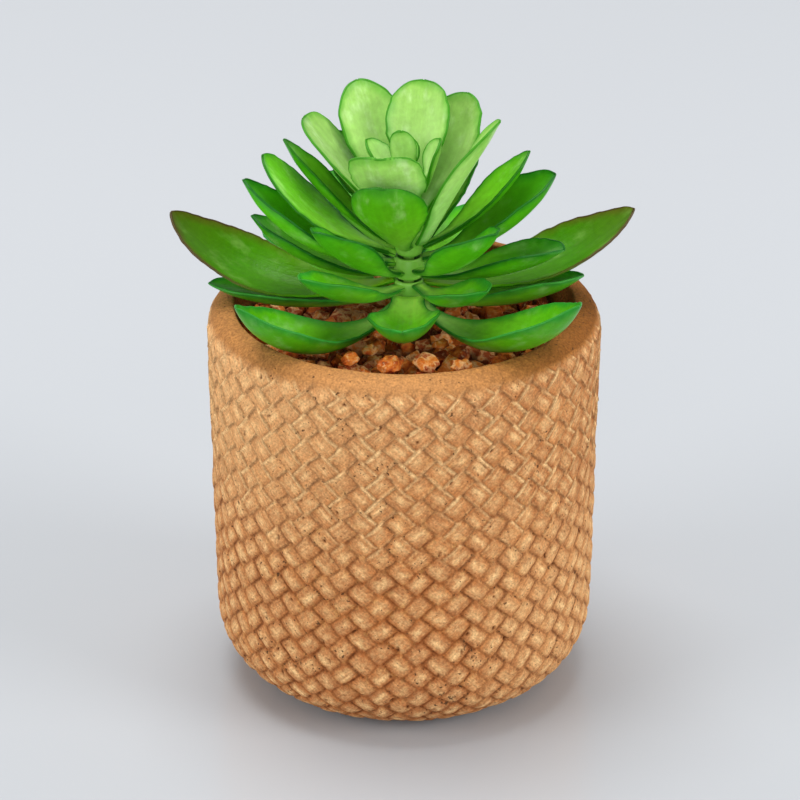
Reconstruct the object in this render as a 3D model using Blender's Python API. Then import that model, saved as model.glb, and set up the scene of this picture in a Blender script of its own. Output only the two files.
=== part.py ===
# Potted succulent: a cast round pot, filled and topped with gravel, that holds an upright stem.
# Small rings sit on the stem, and each carries a tier of moulded, spoon-shaped leaves.
# Metres, +Z up. The origin is on the pot's axis, on its flat underside. The front faces -Y.

import math
import random

import bmesh
import bpy
from mathutils import Matrix, Vector

MM = 0.001
GAP = 0.3 * MM
MERGE = 0.01 * MM
SHARP_ANGLE = math.radians(40)

# Pot: outside sizes, then the hollow
POT_HEIGHT = 82.0 * MM
POT_TOP_RADIUS = 40.0 * MM
POT_LOW_RADIUS = 39.1 * MM
POT_FOOT_FILLET = 16.0 * MM
POT_SHOULDER = 5.3 * MM
POT_LIP = 0.5 * MM
POT_HOLLOW_TOP_RADIUS = POT_TOP_RADIUS - POT_SHOULDER - POT_LIP
POT_HOLLOW_LOW_RADIUS = 32.0 * MM
POT_HOLLOW_FILLET = 9.0 * MM
POT_FLOOR = 7.0 * MM
POT_SEGMENTS = 48
FOOT_STEPS = 7
SHOULDER_STEPS = 6
HOLLOW_STEPS = 4
LIP_STEPS = 2

# Filling under the gravel, and the gravel bed with its low lumps
FILLING_TOP = 68.0 * MM
BED_TOP = 76.2 * MM
BED_LUMP = 0.2 * MM
BED_RINGS = 5
BED_SPOKES = 24
BED_SEED = 5

# Stem, a little to the right of the pot's axis
STEM_X = 1.0 * MM
STEM_RADIUS = 1.1 * MM
STEM_BOTTOM = 40.0 * MM
STEM_TOP = 107.8 * MM
STEM_SIDES = 16

# Rings on the stem: bottom, top and outer radius
RING_EDGE = 0.5 * MM
RING_SIDES = 20
RINGS = {
    "low_ring": (79.0 * MM, 82.4 * MM, 3.0 * MM),
    "second_ring": (82.7 * MM, 86.9 * MM, 3.0 * MM),
    "middle_ring": (87.2 * MM, 91.9 * MM, 3.0 * MM),
    "upper_ring": (92.2 * MM, 97.0 * MM, 2.7 * MM),
    "top_ring": (97.3 * MM, 103.8 * MM, 2.0 * MM),
    "crown_ring": (104.1 * MM, 108.3 * MM, 2.0 * MM),
}

# Loose stones on the bed: x and y, then length, width and height
STONE_CORNERS = 16
STONE_ROUGHNESS = 0.14
STONE_SCATTER = 0.4
STONES = (
    (-2.8, -22.7, 7.6, 6.2, 3.9),
    (4.3, -21.8, 7.4, 6.4, 4.1),
    (-10.6, -19.7, 5.8, 5.0, 3.3),
    (11.3, -22.3, 5.6, 4.8, 3.2),
    (7.4, -12.2, 4.8, 4.2, 2.6),
    (25.9, 2.9, 6.0, 5.0, 3.4),
    (13.6, -3.0, 4.8, 4.0, 2.4),
    (-17.0, 2.0, 5.0, 4.2, 2.4),
    (-20.2, 22.0, 5.6, 4.8, 3.2),
    (-6.9, -14.6, 5.0, 4.2, 2.6),
)

# Leaf blades
LEAF_THICKNESS = 1.5 * MM
LEAF_EDGE_SHARE = 0.3
LEAF_TIP_THINNING = 0.35
LEAF_STATIONS = (0.0, 0.12, 0.25, 0.38, 0.5, 0.62, 0.74, 0.85, 0.94)
LEAF_ACROSS = 5
SPINE_STEPS = 40
BASE_RADIUS = 3.5

# How every blade is shaped: its end, how its cup grows from the base, and where its twist is full
BLUNTNESS = 1.2
POINT_POWER = 1.7
POINT_FALL = 0.95
CUP_POWER = 1.6
CUP_AT_BASE = 0.55
CUP_FULL_AT = 0.4
CUP_DRAWS_IN = 0.75
DRAW_IN_POWER = 1.2
LEAN_FULL_AT = 0.5

# One row for each leaf. base: height on the stem. heading: degrees from +X, anticlockwise from above.
# rise: slope in degrees at the base and at the tip. cup: how far the edges stand up, as a share of
# the half width. lean: twist about the leaf's own length. sweep: sideways bend, in degrees.
# tip: 1 pointed, 0 round, below 0 blunt. stalk: width at the base as a share of the full width.
LEAF_STYLE = dict(lean=0, sweep=0, tip=0.3, stalk=0.19, widest=0.62, base_radius=BASE_RADIUS)
LEAVES = {
    "low_leaf_front_left": dict(
        base=81.5, heading=219, rise=(-28, 61), length=48, width=15.5, cup=0.65, lean=-8, sweep=7),
    "low_leaf_front_right": dict(
        base=81.8, heading=316, rise=(-22.5, 59), length=50.5, width=17, cup=0.6, lean=9, sweep=-6, tip=0.4),
    "low_leaf_back_right": dict(
        base=80, heading=34, rise=(-7, 20), length=33, width=14, cup=0.5, tip=0.4),
    "low_leaf_back": dict(
        base=81.5, heading=82, rise=(-9, 30), length=38, width=14.5, cup=0.5, tip=0.4),
    "low_leaf_back_left": dict(
        base=81.9, heading=138, rise=(-10, 25), length=38, width=14.5, cup=0.5, tip=0.4),
    "second_leaf_front": dict(
        base=83.3, heading=267, rise=(-33, 50), length=24.5, width=16, cup=0.6, lean=4, tip=0.1,
        stalk=0.42, widest=0.5),
    "second_leaf_right": dict(
        base=83.5, heading=355, rise=(-16, 32), length=33, width=15, cup=0.5, lean=-11, sweep=7, tip=0.2),
    "second_leaf_left": dict(
        base=84.1, heading=178, rise=(-19.5, 21), length=38, width=13.6, cup=0.45, lean=3, sweep=-4),
    "second_leaf_back_right": dict(
        base=83.5, heading=61, rise=(1, 26), length=32, width=14, cup=0.5),
    "second_leaf_back_left": dict(
        base=85, heading=114, rise=(0, 25), length=34, width=14, cup=0.5),
    "second_leaf_front_right": dict(
        base=86, heading=307, rise=(-11, 45), length=23, width=12, cup=0.55, lean=4, sweep=3, tip=-0.1,
        stalk=0.25, widest=0.55),
    "second_leaf_front_left": dict(
        base=85.5, heading=226, rise=(-3, 45), length=28.5, width=11, cup=0.5, lean=2, sweep=-7, tip=0.1,
        stalk=0.25, widest=0.55),
    "long_leaf_left": dict(
        base=86.5, heading=175, rise=(-24, 52), length=50.5, width=16.5, cup=0.4, lean=-14, sweep=-11,
        tip=0.45),
    "long_leaf_right": dict(
        base=86, heading=7, rise=(-12, 48), length=46.5, width=15.5, cup=0.4, lean=13, tip=0.5),
    "middle_leaf_left_low": dict(
        base=88.3, heading=178, rise=(-8, 53), length=32, width=12, cup=0.5, lean=4, sweep=-1),
    "middle_leaf_right_low": dict(
        base=88, heading=347, rise=(-1, 34), length=30, width=13.5, cup=0.55, lean=-4, sweep=-2, tip=-0.2),
    "middle_leaf_back": dict(
        base=87.7, heading=83, rise=(10, 35), length=28, width=13, cup=0.5),
    "middle_leaf_back_left": dict(
        base=89, heading=123, rise=(10, 35), length=29, width=13, cup=0.5),
    "middle_leaf_front_left": dict(
        base=89, heading=229, rise=(17, 52), length=29.5, width=13, cup=0.6, sweep=-5, tip=0.2),
    "middle_leaf_front_right": dict(
        base=89.5, heading=308, rise=(14, 55), length=28, width=15, cup=0.55, lean=3, sweep=5, tip=0.2),
    "middle_leaf_left": dict(
        base=90.5, heading=187, rise=(3, 63), length=37, width=13.5, cup=0.55, lean=-3, sweep=-1),
    "middle_leaf_right": dict(
        base=91.5, heading=356, rise=(11, 60), length=32.5, width=15.5, cup=0.6, lean=7, sweep=6, tip=0.25),
    "upper_leaf_left": dict(
        base=92.7, heading=185, rise=(19, 60), length=34, width=14, cup=0.15, lean=-7, sweep=-8, tip=0.05),
    "upper_leaf_right": dict(
        base=94, heading=6, rise=(24, 63), length=29, width=9.5, cup=0.45, lean=7, sweep=-3, tip=0.4),
    "upper_leaf_far_left": dict(
        base=94.5, heading=168, rise=(26, 60), length=30.5, width=10, cup=0.45, lean=7, sweep=4),
    "upper_leaf_back": dict(
        base=93, heading=94, rise=(22, 45), length=22, width=12, cup=0.5, tip=0.2),
    "upper_leaf_back_right": dict(
        base=93.3, heading=43, rise=(46, 58), length=22.5, width=10.5, cup=0.5, lean=6, sweep=-8, tip=0.2,
        stalk=0.22, base_radius=3.9),
    "upper_leaf_back_left": dict(
        base=96.3, heading=141, rise=(30, 59), length=24.5, width=13, cup=0.5, lean=-5, sweep=-7, tip=0.2),
    "upper_leaf_steep_right": dict(
        base=96.3, heading=333, rise=(62, 58.5), length=31.5, width=16.4, cup=0.4, lean=5, sweep=6,
        tip=0.35, stalk=0.4, widest=0.6, base_radius=3.8),
    "upper_leaf_front": dict(
        base=95, heading=252, rise=(29, 76), length=23.5, width=15.5, cup=0.35, lean=5, sweep=4, tip=-0.3,
        stalk=0.22, widest=0.66),
    "top_leaf_left": dict(
        base=98.5, heading=173, rise=(43, 55), length=28.5, width=14.5, cup=0.35, lean=6, sweep=-10,
        tip=-0.2, stalk=0.3, widest=0.7, base_radius=2.8),
    "top_leaf_right": dict(
        base=99.5, heading=47, rise=(46, 63), length=27, width=14, cup=0.4, lean=6, sweep=8, tip=0,
        base_radius=2.8),
    "top_leaf_front": dict(
        base=101, heading=248, rise=(40, 64), length=23, width=15, cup=0.4, lean=8, sweep=6, tip=-0.5,
        stalk=0.3, widest=0.6, base_radius=2.8),
    "top_leaf_back_left": dict(
        base=101, heading=126, rise=(44, 63), length=28, width=14, cup=0.4, lean=-9, sweep=-9, tip=0,
        base_radius=2.8),
    "top_leaf_back": dict(
        base=103.3, heading=78, rise=(59, 59), length=24, width=13.5, cup=0.45, sweep=2, tip=-0.2,
        base_radius=2.8),
    "crown_leaf_back": dict(
        base=107, heading=95, rise=(65, 77), length=9, width=5, cup=0.45, tip=0.1, base_radius=3),
    "crown_leaf_left": dict(
        base=105.5, heading=163, rise=(57, 63), length=12, width=7.5, cup=0.45, lean=-6, sweep=-1, tip=0.1,
        base_radius=3),
    "crown_leaf_front": dict(
        base=108, heading=257, rise=(66, 79), length=14, width=5.5, cup=0.45, lean=3, tip=-0.2,
        base_radius=2.8),
    "crown_leaf_right": dict(
        base=106, heading=15, rise=(67, 76), length=11, width=6.5, cup=0.45, lean=-1, sweep=1, tip=0.1,
        base_radius=3),
}

# Colours by tier, from the dark low leaves to the pale crown, then the other finishes
LEAF_COLOURS = {
    "low": (0.05, 0.24, 0.03),
    "second": (0.06, 0.27, 0.03),
    "long": (0.08, 0.22, 0.03),
    "middle": (0.08, 0.31, 0.04),
    "upper": (0.13, 0.38, 0.05),
    "top": (0.24, 0.52, 0.08),
    "crown": (0.32, 0.60, 0.13),
}
CEMENT_COLOUR = (0.52, 0.29, 0.14)
GRAVEL_COLOUR = (0.42, 0.15, 0.08)
STONE_COLOUR = (0.55, 0.25, 0.12)
FILLING_COLOUR = (0.60, 0.56, 0.48)
STEM_COLOUR = (0.16, 0.36, 0.08)


def clear_scene():
    for thing in list(bpy.data.objects):
        bpy.data.objects.remove(thing, do_unlink=True)


def make_material(name, colour, roughness):
    material = bpy.data.materials.new(name)
    material.use_nodes = True
    shader = material.node_tree.nodes["Principled BSDF"]
    shader.inputs["Base Color"].default_value = (*colour, 1.0)
    shader.inputs["Roughness"].default_value = roughness
    shader.inputs["Metallic"].default_value = 0.0
    return material


def add_object(name, bm, material, smooth=True):
    bmesh.ops.recalc_face_normals(bm, faces=bm.faces)
    mesh = bpy.data.meshes.new(name)
    bm.to_mesh(mesh)
    bm.free()
    if smooth:
        mesh.shade_smooth()
        mesh.set_sharp_from_angle(angle=SHARP_ANGLE)
    thing = bpy.data.objects.new(name, mesh)
    thing.data.materials.append(material)
    bpy.context.scene.collection.objects.link(thing)
    return thing


def arc(centre_r, centre_z, radius, start, end, pieces):
    # Points of a round stretch in the r-z plane, from one angle to another in degrees
    points = []
    for step in range(pieces + 1):
        angle = math.radians(start + (end - start) * step / pieces)
        points.append((centre_r + radius * math.cos(angle), centre_z + radius * math.sin(angle)))
    return points


def turned(name, profile, material, sides, centre_x=0.0, ring=False):
    # Spins an r-z profile about a vertical axis; a ring's profile closes on itself
    bm = bmesh.new()
    verts = [bm.verts.new((r, 0.0, z)) for r, z in profile]
    edges = [bm.edges.new(pair) for pair in zip(verts, verts[1:])]
    if ring:
        edges.append(bm.edges.new((verts[-1], verts[0])))
    bmesh.ops.spin(
        bm, geom=verts + edges, cent=(0, 0, 0), axis=(0, 0, 1), angle=math.tau, steps=sides,
        use_merge=True, use_duplicate=False)
    bmesh.ops.remove_doubles(bm, verts=bm.verts, dist=MERGE)
    bmesh.ops.translate(bm, verts=bm.verts, vec=(centre_x, 0.0, 0.0))
    return add_object(name, bm, material)


def hollow_radius(height):
    # The hollow's wall leans in a little towards the floor
    low = POT_FLOOR + POT_HOLLOW_FILLET
    share = (height - low) / (POT_HEIGHT - low)
    return POT_HOLLOW_LOW_RADIUS + (POT_HOLLOW_TOP_RADIUS - POT_HOLLOW_LOW_RADIUS) * share


def make_pot(material):
    shoulder_r = POT_TOP_RADIUS - POT_SHOULDER
    profile = [(0.0, 0.0)]
    profile += arc(POT_LOW_RADIUS - POT_FOOT_FILLET, POT_FOOT_FILLET, POT_FOOT_FILLET, -90, 0, FOOT_STEPS)
    profile += arc(shoulder_r, POT_HEIGHT - POT_SHOULDER, POT_SHOULDER, 0, 90, SHOULDER_STEPS)
    profile += arc(shoulder_r, POT_HEIGHT - POT_LIP, POT_LIP, 120, 180, LIP_STEPS)
    profile += arc(
        POT_HOLLOW_LOW_RADIUS - POT_HOLLOW_FILLET, POT_FLOOR + POT_HOLLOW_FILLET, POT_HOLLOW_FILLET,
        0, -90, HOLLOW_STEPS)
    profile.append((0.0, POT_FLOOR))
    return turned("pot", profile, material, POT_SEGMENTS)


def stem_hole_cutter():
    bm = bmesh.new()
    tall = 2 * (BED_TOP - STEM_BOTTOM)
    bmesh.ops.create_cone(
        bm, cap_ends=True, segments=STEM_SIDES, radius1=STEM_RADIUS + GAP, radius2=STEM_RADIUS + GAP,
        depth=tall)
    low = STEM_BOTTOM - GAP
    bmesh.ops.translate(bm, verts=bm.verts, vec=(STEM_X, 0.0, low + tall / 2))
    cutter = add_object("stem_hole_guide", bm, make_material("guide", (0.5, 0.5, 0.5), 0.5))
    cutter.hide_render = True
    cutter.display_type = "WIRE"
    return cutter


def cut_stem_hole(thing, cutter):
    cut = thing.modifiers.new("stem_hole", "BOOLEAN")
    cut.operation = "DIFFERENCE"
    cut.solver = "EXACT"
    cut.object = cutter


def make_filling(cutter, material):
    low = POT_FLOOR + GAP
    fillet = POT_HOLLOW_FILLET - GAP
    profile = [(0.0, low)]
    profile += arc(POT_HOLLOW_LOW_RADIUS - POT_HOLLOW_FILLET, low + fillet, fillet, -90, 0, HOLLOW_STEPS)
    profile.append((hollow_radius(FILLING_TOP) - GAP, FILLING_TOP))
    profile.append((0.0, FILLING_TOP))
    filling = turned("filling", profile, material, POT_SEGMENTS)
    cut_stem_hole(filling, cutter)


def make_gravel_bed(cutter, material):
    # A disc whose top is lumpy, on its own seeded numbers
    rng = random.Random(BED_SEED)
    low = FILLING_TOP + GAP
    rim = hollow_radius(low) - GAP
    bm = bmesh.new()
    rings = []
    for ring in range(1, BED_RINGS + 1):
        radius = rim * ring / BED_RINGS
        row = []
        for spoke in range(BED_SPOKES):
            angle = math.tau * spoke / BED_SPOKES
            height = BED_TOP + rng.uniform(-BED_LUMP, BED_LUMP)
            row.append(bm.verts.new((radius * math.cos(angle), radius * math.sin(angle), height)))
        rings.append(row)
    bottom = [bm.verts.new((v.co.x, v.co.y, low)) for v in rings[-1]]
    rings.append(bottom)
    top_middle = bm.verts.new((0.0, 0.0, BED_TOP))
    for spoke in range(BED_SPOKES):
        after = (spoke + 1) % BED_SPOKES
        bm.faces.new((top_middle, rings[0][spoke], rings[0][after]))
        for inner, outer in zip(rings, rings[1:]):
            bm.faces.new((inner[spoke], outer[spoke], outer[after], inner[after]))
    bm.faces.new(bottom)
    bed = add_object("gravel_bed", bm, material)
    cut_stem_hole(bed, cutter)


def make_stone(number, place, material):
    # An angular stone: the hull of seeded points on a flattened ball, stood on the bed
    x, y, length, width, height = (value * MM for value in place)
    rng = random.Random(number)
    bm = bmesh.new()
    for corner in range(STONE_CORNERS):
        # Points spread evenly over the ball by the golden angle, then pushed in or out a little
        share = 1 - 2 * (corner + 0.5) / STONE_CORNERS
        around = corner * math.pi * (3 - math.sqrt(5)) + rng.uniform(-STONE_SCATTER, STONE_SCATTER)
        flat = math.sqrt(1 - share * share)
        point = Vector((flat * math.cos(around), flat * math.sin(around), share))
        point *= rng.uniform(1 - STONE_ROUGHNESS, 1.0)
        bm.verts.new((point.x * length / 2, point.y * width / 2, point.z * height / 2))
    hull = bmesh.ops.convex_hull(bm, input=bm.verts)
    bmesh.ops.delete(bm, geom=hull["geom_interior"], context="VERTS")
    turn = Matrix.Rotation(rng.uniform(0, math.pi), 3, "Z")
    bmesh.ops.rotate(bm, verts=bm.verts, matrix=turn, cent=(0, 0, 0))
    lowest = min(v.co.z for v in bm.verts)
    up = BED_TOP + BED_LUMP + GAP - lowest
    bmesh.ops.translate(bm, verts=bm.verts, vec=(x, y, up))
    return add_object("stone_%d" % number, bm, material, smooth=False)


def make_stem(material):
    profile = [
        (0.0, STEM_BOTTOM),
        (STEM_RADIUS, STEM_BOTTOM),
        (STEM_RADIUS, STEM_TOP - RING_EDGE),
        (STEM_RADIUS - RING_EDGE, STEM_TOP),
        (0.0, STEM_TOP),
    ]
    return turned("stem", profile, material, STEM_SIDES, STEM_X)


def make_ring(name, low, high, radius, material):
    inner = STEM_RADIUS + GAP
    profile = [
        (inner, high),
        (inner, low),
        (radius - RING_EDGE, low),
        (radius, low + RING_EDGE),
        (radius, high - RING_EDGE),
        (radius - RING_EDGE, high),
    ]
    return turned(name, profile, material, RING_SIDES, STEM_X, ring=True)


def ease(share):
    share = min(max(share, 0.0), 1.0)
    return share * share * (3 - 2 * share)


def half_width(along, leaf):
    # Narrow at the stalk, widest at leaf["widest"], then a round, blunt or pointed end
    body = leaf["stalk"] + (1 - leaf["stalk"]) * ease(along / leaf["widest"])
    past = max(0.0, (along - leaf["widest"]) / (1 - leaf["widest"]))
    power = 2.0 + BLUNTNESS * max(0.0, -leaf["tip"])
    round_end = max(0.0, 1 - past ** power) ** (1 / power)
    sharp_end = max(0.0, 1 - past ** POINT_POWER) ** POINT_FALL
    point = max(0.0, leaf["tip"])
    return 0.5 * leaf["width"] * body * ((1 - point) * round_end + point * sharp_end)


def leaf_direction(along, leaf):
    heading = math.radians(leaf["heading"] + leaf["sweep"] * along)
    slope = math.radians(leaf["rise"][0] + (leaf["rise"][1] - leaf["rise"][0]) * along)
    forward = Vector((
        math.cos(slope) * math.cos(heading), math.cos(slope) * math.sin(heading), math.sin(slope)))
    side = Vector((-math.sin(heading), math.cos(heading), 0.0))
    return forward, side


def leaf_spine(leaf):
    # Walks along the leaf from its base, a short step at a time
    heading = math.radians(leaf["heading"])
    out = leaf["base_radius"]
    place = Vector((
        STEM_X / MM + out * math.cos(heading), out * math.sin(heading), leaf["base"]))
    points = [place.copy()]
    step = leaf["length"] / SPINE_STEPS
    for index in range(SPINE_STEPS):
        before = leaf_direction(index / SPINE_STEPS, leaf)[0]
        after = leaf_direction((index + 1) / SPINE_STEPS, leaf)[0]
        place = place + (before + after) * 0.5 * step
        points.append(place.copy())
    return points


def spine_place(points, along):
    exact = along * SPINE_STEPS
    index = min(int(exact), SPINE_STEPS - 1)
    return points[index].lerp(points[index + 1], exact - index)


def blade_point(points, leaf, along, across):
    # across runs from -1 to 1; the edges stand up from the middle by the cup
    forward, side = leaf_direction(along, leaf)
    up = forward.cross(side)
    lean = math.radians(leaf["lean"]) * ease(along / LEAN_FULL_AT)
    tilted = side * math.cos(lean) + up * math.sin(lean)
    above = forward.cross(tilted)
    cup = leaf["cup"] * (CUP_AT_BASE + (1 - CUP_AT_BASE) * ease(along / CUP_FULL_AT))
    half = half_width(along, leaf)
    drawn_in = math.sqrt(1 - (cup * CUP_DRAWS_IN) ** 2 * abs(across) ** DRAW_IN_POWER)
    return (
        spine_place(points, along)
        + tilted * across * drawn_in * half
        + above * cup * abs(across) ** CUP_POWER * half)


def make_leaf(name, settings, material):
    # A cupped blade, one face thick, that a Solidify gives a thick middle and thin edges
    leaf = dict(LEAF_STYLE)
    leaf.update(settings)
    points = leaf_spine(leaf)
    bm = bmesh.new()
    weight = bm.verts.layers.float.new("thick")
    rows = []
    for along in LEAF_STATIONS:
        row = []
        for column in range(LEAF_ACROSS):
            across = 2 * column / (LEAF_ACROSS - 1) - 1
            vert = bm.verts.new(blade_point(points, leaf, along, across) * MM)
            middle = (1 - across * across) * (1 - LEAF_TIP_THINNING * along)
            vert[weight] = LEAF_EDGE_SHARE + (1 - LEAF_EDGE_SHARE) * middle
            row.append(vert)
        rows.append(row)
    tip = bm.verts.new(blade_point(points, leaf, 1.0, 0.0) * MM)
    tip[weight] = LEAF_EDGE_SHARE
    for lower, upper in zip(rows, rows[1:]):
        for column in range(LEAF_ACROSS - 1):
            bm.faces.new((lower[column], lower[column + 1], upper[column + 1], upper[column]))
    for column in range(LEAF_ACROSS - 1):
        bm.faces.new((rows[-1][column], rows[-1][column + 1], tip))
    weights = [vert[weight] for vert in bm.verts]
    blade = add_object(name, bm, material)
    group = blade.vertex_groups.new(name="thick")
    for index, value in enumerate(weights):
        group.add([index], value, "REPLACE")
    solid = blade.modifiers.new("thickness", "SOLIDIFY")
    solid.thickness = LEAF_THICKNESS
    solid.offset = 0.0
    solid.vertex_group = group.name
    solid.thickness_vertex_group = 0.0
    return blade


def main():
    clear_scene()
    cement = make_material("cast_cement", CEMENT_COLOUR, 0.85)
    plug = make_material("filling_plug", FILLING_COLOUR, 0.9)
    grit = make_material("gravel", GRAVEL_COLOUR, 0.9)
    stone = make_material("loose_stone", STONE_COLOUR, 0.85)
    stalk = make_material("stem_plastic", STEM_COLOUR, 0.5)

    make_pot(cement)
    cutter = stem_hole_cutter()
    make_filling(cutter, plug)
    make_gravel_bed(cutter, grit)
    for number, place in enumerate(STONES, start=1):
        make_stone(number, place, stone)
    make_stem(stalk)
    for name, (low, high, radius) in RINGS.items():
        make_ring(name, low, high, radius, stalk)

    blades = {}
    for tier, colour in LEAF_COLOURS.items():
        blades[tier] = make_material("leaf_plastic_" + tier, colour, 0.45)
    for name, settings in LEAVES.items():
        make_leaf(name, settings, blades[name.split("_")[0]])


main()
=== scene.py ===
# Looks of a small artificial succulent in a cast cement pot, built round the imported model.
# Metres, +Z up. The pot stands on its foot at the origin, and the front of the plant faces -Y.

import math
import random

import bmesh
import bpy
import numpy as np
from mathutils import Matrix, Vector, noise


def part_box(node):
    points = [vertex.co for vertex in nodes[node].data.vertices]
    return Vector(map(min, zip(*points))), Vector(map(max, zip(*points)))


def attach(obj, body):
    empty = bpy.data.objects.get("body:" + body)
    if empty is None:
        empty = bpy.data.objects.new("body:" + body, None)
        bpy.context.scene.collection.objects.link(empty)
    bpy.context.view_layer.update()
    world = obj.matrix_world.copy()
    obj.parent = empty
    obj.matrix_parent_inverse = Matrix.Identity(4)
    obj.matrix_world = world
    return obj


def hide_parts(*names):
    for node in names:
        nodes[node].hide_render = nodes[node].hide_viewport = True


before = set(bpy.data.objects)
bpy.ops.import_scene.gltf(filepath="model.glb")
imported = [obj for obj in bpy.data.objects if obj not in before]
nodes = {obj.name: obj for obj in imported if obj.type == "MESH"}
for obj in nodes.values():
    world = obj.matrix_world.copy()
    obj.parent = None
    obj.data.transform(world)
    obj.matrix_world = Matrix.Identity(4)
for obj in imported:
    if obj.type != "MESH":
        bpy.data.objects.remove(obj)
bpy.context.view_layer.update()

mm = 0.001
goldenAngle = math.pi * (3 - math.sqrt(5))   # spreads points evenly round a spiral
print("frame loaded, %d nodes" % len(nodes))


# Small helpers

def hexToLinear(colour):
    # An sRGB hex colour as the linear one that a shader takes
    values = []
    for start in (1, 3, 5):
        value = int(colour[start:start + 2], 16) / 255
        values.append(value / 12.92 if value <= 0.04045 else ((value + 0.055) / 1.055) ** 2.4)
    return (*values, 1.0)


def resultOf(source):
    # The socket that carries a node's result; a socket stands for itself
    if isinstance(source, bpy.types.NodeSocket):
        return source
    return source.outputs[2 if getattr(source, "data_type", "") == "RGBA" else 0]


def addNode(tree, kind, inputs=None, stops=None, **settings):
    # Adds a shader node with its settings; inputs hold values, hex colours, nodes or sockets
    node = tree.nodes.new("ShaderNode" + kind)
    for name, value in settings.items():
        setattr(node, name, value)
    for place, value in (inputs or {}).items():
        if isinstance(value, (bpy.types.Node, bpy.types.NodeSocket)):
            tree.links.new(resultOf(value), node.inputs[place])
        else:
            node.inputs[place].default_value = hexToLinear(value) if isinstance(value, str) else value
    if stops:
        elements = node.color_ramp.elements
        while len(elements) < len(stops):
            elements.new(0.5)
        for element, (place, colour) in zip(elements, stops):
            element.position = place
            element.color = hexToLinear(colour)
    return node


def startMaterial(name, surface):
    # A Principled material whose constant values sit on the shader's own sockets
    material = bpy.data.materials.new(name)
    material.use_nodes = True
    shader = material.node_tree.nodes["Principled BSDF"]
    for socket, value in surface.items():
        shader.inputs[socket].default_value = value
    return material, material.node_tree, shader


def finishMaterial(tree, shader, colour, height=None, **bump):
    # Joins the colour to the shader, and a bump made from the height where there is one
    tree.links.new(resultOf(colour), shader.inputs["Base Color"])
    if height:
        relief = addNode(tree, "Bump", {"Height": height, **bump})
        tree.links.new(resultOf(relief), shader.inputs["Normal"])


def addPiece(name, vertices, faces, material, replaced=(), attributes=None, sharpFrom=None):
    # A smooth mesh that rides on the body and stands for the nodes that it replaces
    mesh = bpy.data.meshes.new(name)
    mesh.from_pydata(vertices, [], faces)
    for label, values in (attributes or {}).items():
        layer = mesh.attributes.new(label, "FLOAT", "POINT")
        layer.data.foreach_set("value", np.asarray(values, np.float32).ravel())
    mesh.materials.append(material)
    mesh.shade_smooth()
    if sharpFrom:
        mesh.set_sharp_from_angle(angle=math.radians(sharpFrom))
    piece = bpy.data.objects.new(name, mesh)
    bpy.context.scene.collection.objects.link(piece)
    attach(piece, "root")
    if replaced:
        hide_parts(*replaced)
    return piece


def ease(share):
    # From 0 to 1 with a soft start and end
    share = np.clip(share, 0.0, 1.0)
    return share * share * (3 - 2 * share)


# Camera, floor and lights

studio = {
    "aim": (-0.8 * mm, 0.0, 59.7 * mm),
    "distance": 700 * mm,
    "elevation": 25.8,       # degrees above the horizon
    "lens": 154.3,
    "sensor": 36.0,
    "floorSize": 6.0,
    # The two floor colours hold painted shade, which darkens the floor towards the front
    "floorFar": "#C5C8CC",
    "floorNear": "#B9BDC1",
    "floorFade": (-0.16, 0.30),   # from near to far, in metres along Y
    "floorRoughness": 0.25,
    "skyColour": "#F1F3F6",
    "skyStrength": 0.50,
}

# Each light: where it stands, its size and its power in watts; all look at the aim
studioLights = {
    "leftSoftbox": ((-1.6, -0.7, 0.70), 1.1, 14.5),
    "rightSoftbox": ((1.6, -0.7, 0.70), 1.0, 18.5),
    "topSoftbox": ((-0.2, 0.30, 2.1), 1.4, 31.0),
    "frontSoftbox": ((-0.2, -2.0, 0.36), 0.9, 8.5),
}


def lookAt(thing, target):
    thing.rotation_mode = "QUATERNION"
    thing.rotation_quaternion = (Vector(target) - thing.location).to_track_quat("-Z", "Y")


def makeCamera():
    camera = bpy.data.objects.new("camera", bpy.data.cameras.new("camera"))
    bpy.context.scene.collection.objects.link(camera)
    rise = math.radians(studio["elevation"])
    back = Vector((0.0, -math.cos(rise), math.sin(rise)))
    camera.location = Vector(studio["aim"]) + back * studio["distance"]
    lookAt(camera, studio["aim"])
    camera.data.lens = studio["lens"]
    camera.data.sensor_width = studio["sensor"]
    camera.data.clip_start = 0.05
    bpy.context.scene.camera = camera


def makeFloor():
    # Satin acrylic sheet, pale grey, with painted shade: slightly darker towards the front
    material, tree, shader = startMaterial("acrylicSheetPaintedShade", {
        "Roughness": studio["floorRoughness"], "IOR": 1.49, "Specular IOR Level": 0.55})
    place = addNode(tree, "TexCoord")
    level = addNode(tree, "SeparateXYZ", {0: place.outputs["Object"]}).outputs["Y"]
    near, far = studio["floorFade"]
    away = addNode(tree, "MapRange", {0: level, 1: near, 2: far}, interpolation_type="SMOOTHSTEP")
    floorShade = addNode(tree, "Mix", {0: away, 6: studio["floorNear"], 7: studio["floorFar"]}, data_type="RGBA")
    finishMaterial(tree, shader, floorShade)
    half = studio["floorSize"] / 2
    corners = [(-half, -half, 0), (half, -half, 0), (half, half, 0), (-half, half, 0)]
    mesh = bpy.data.meshes.new("floor")
    mesh.from_pydata(corners, [], [(0, 1, 2, 3)])
    mesh.materials.append(material)
    floor = bpy.data.objects.new("floor", mesh)
    bpy.context.scene.collection.objects.link(floor)


def makeLights():
    for name, (place, size, power) in studioLights.items():
        lamp = bpy.data.lights.new(name, "AREA")
        lamp.shape = "DISK"
        lamp.size = size
        lamp.energy = power
        light = bpy.data.objects.new(name, lamp)
        bpy.context.scene.collection.objects.link(light)
        light.location = place
        lookAt(light, studio["aim"])
    world = bpy.data.worlds.new("studio")
    world.use_nodes = True
    sky = world.node_tree.nodes["Background"]
    sky.inputs["Color"].default_value = hexToLinear(studio["skyColour"])
    sky.inputs["Strength"].default_value = studio["skyStrength"]
    bpy.context.scene.world = world
    bpy.context.scene.view_settings.view_transform = "Standard"


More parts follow.
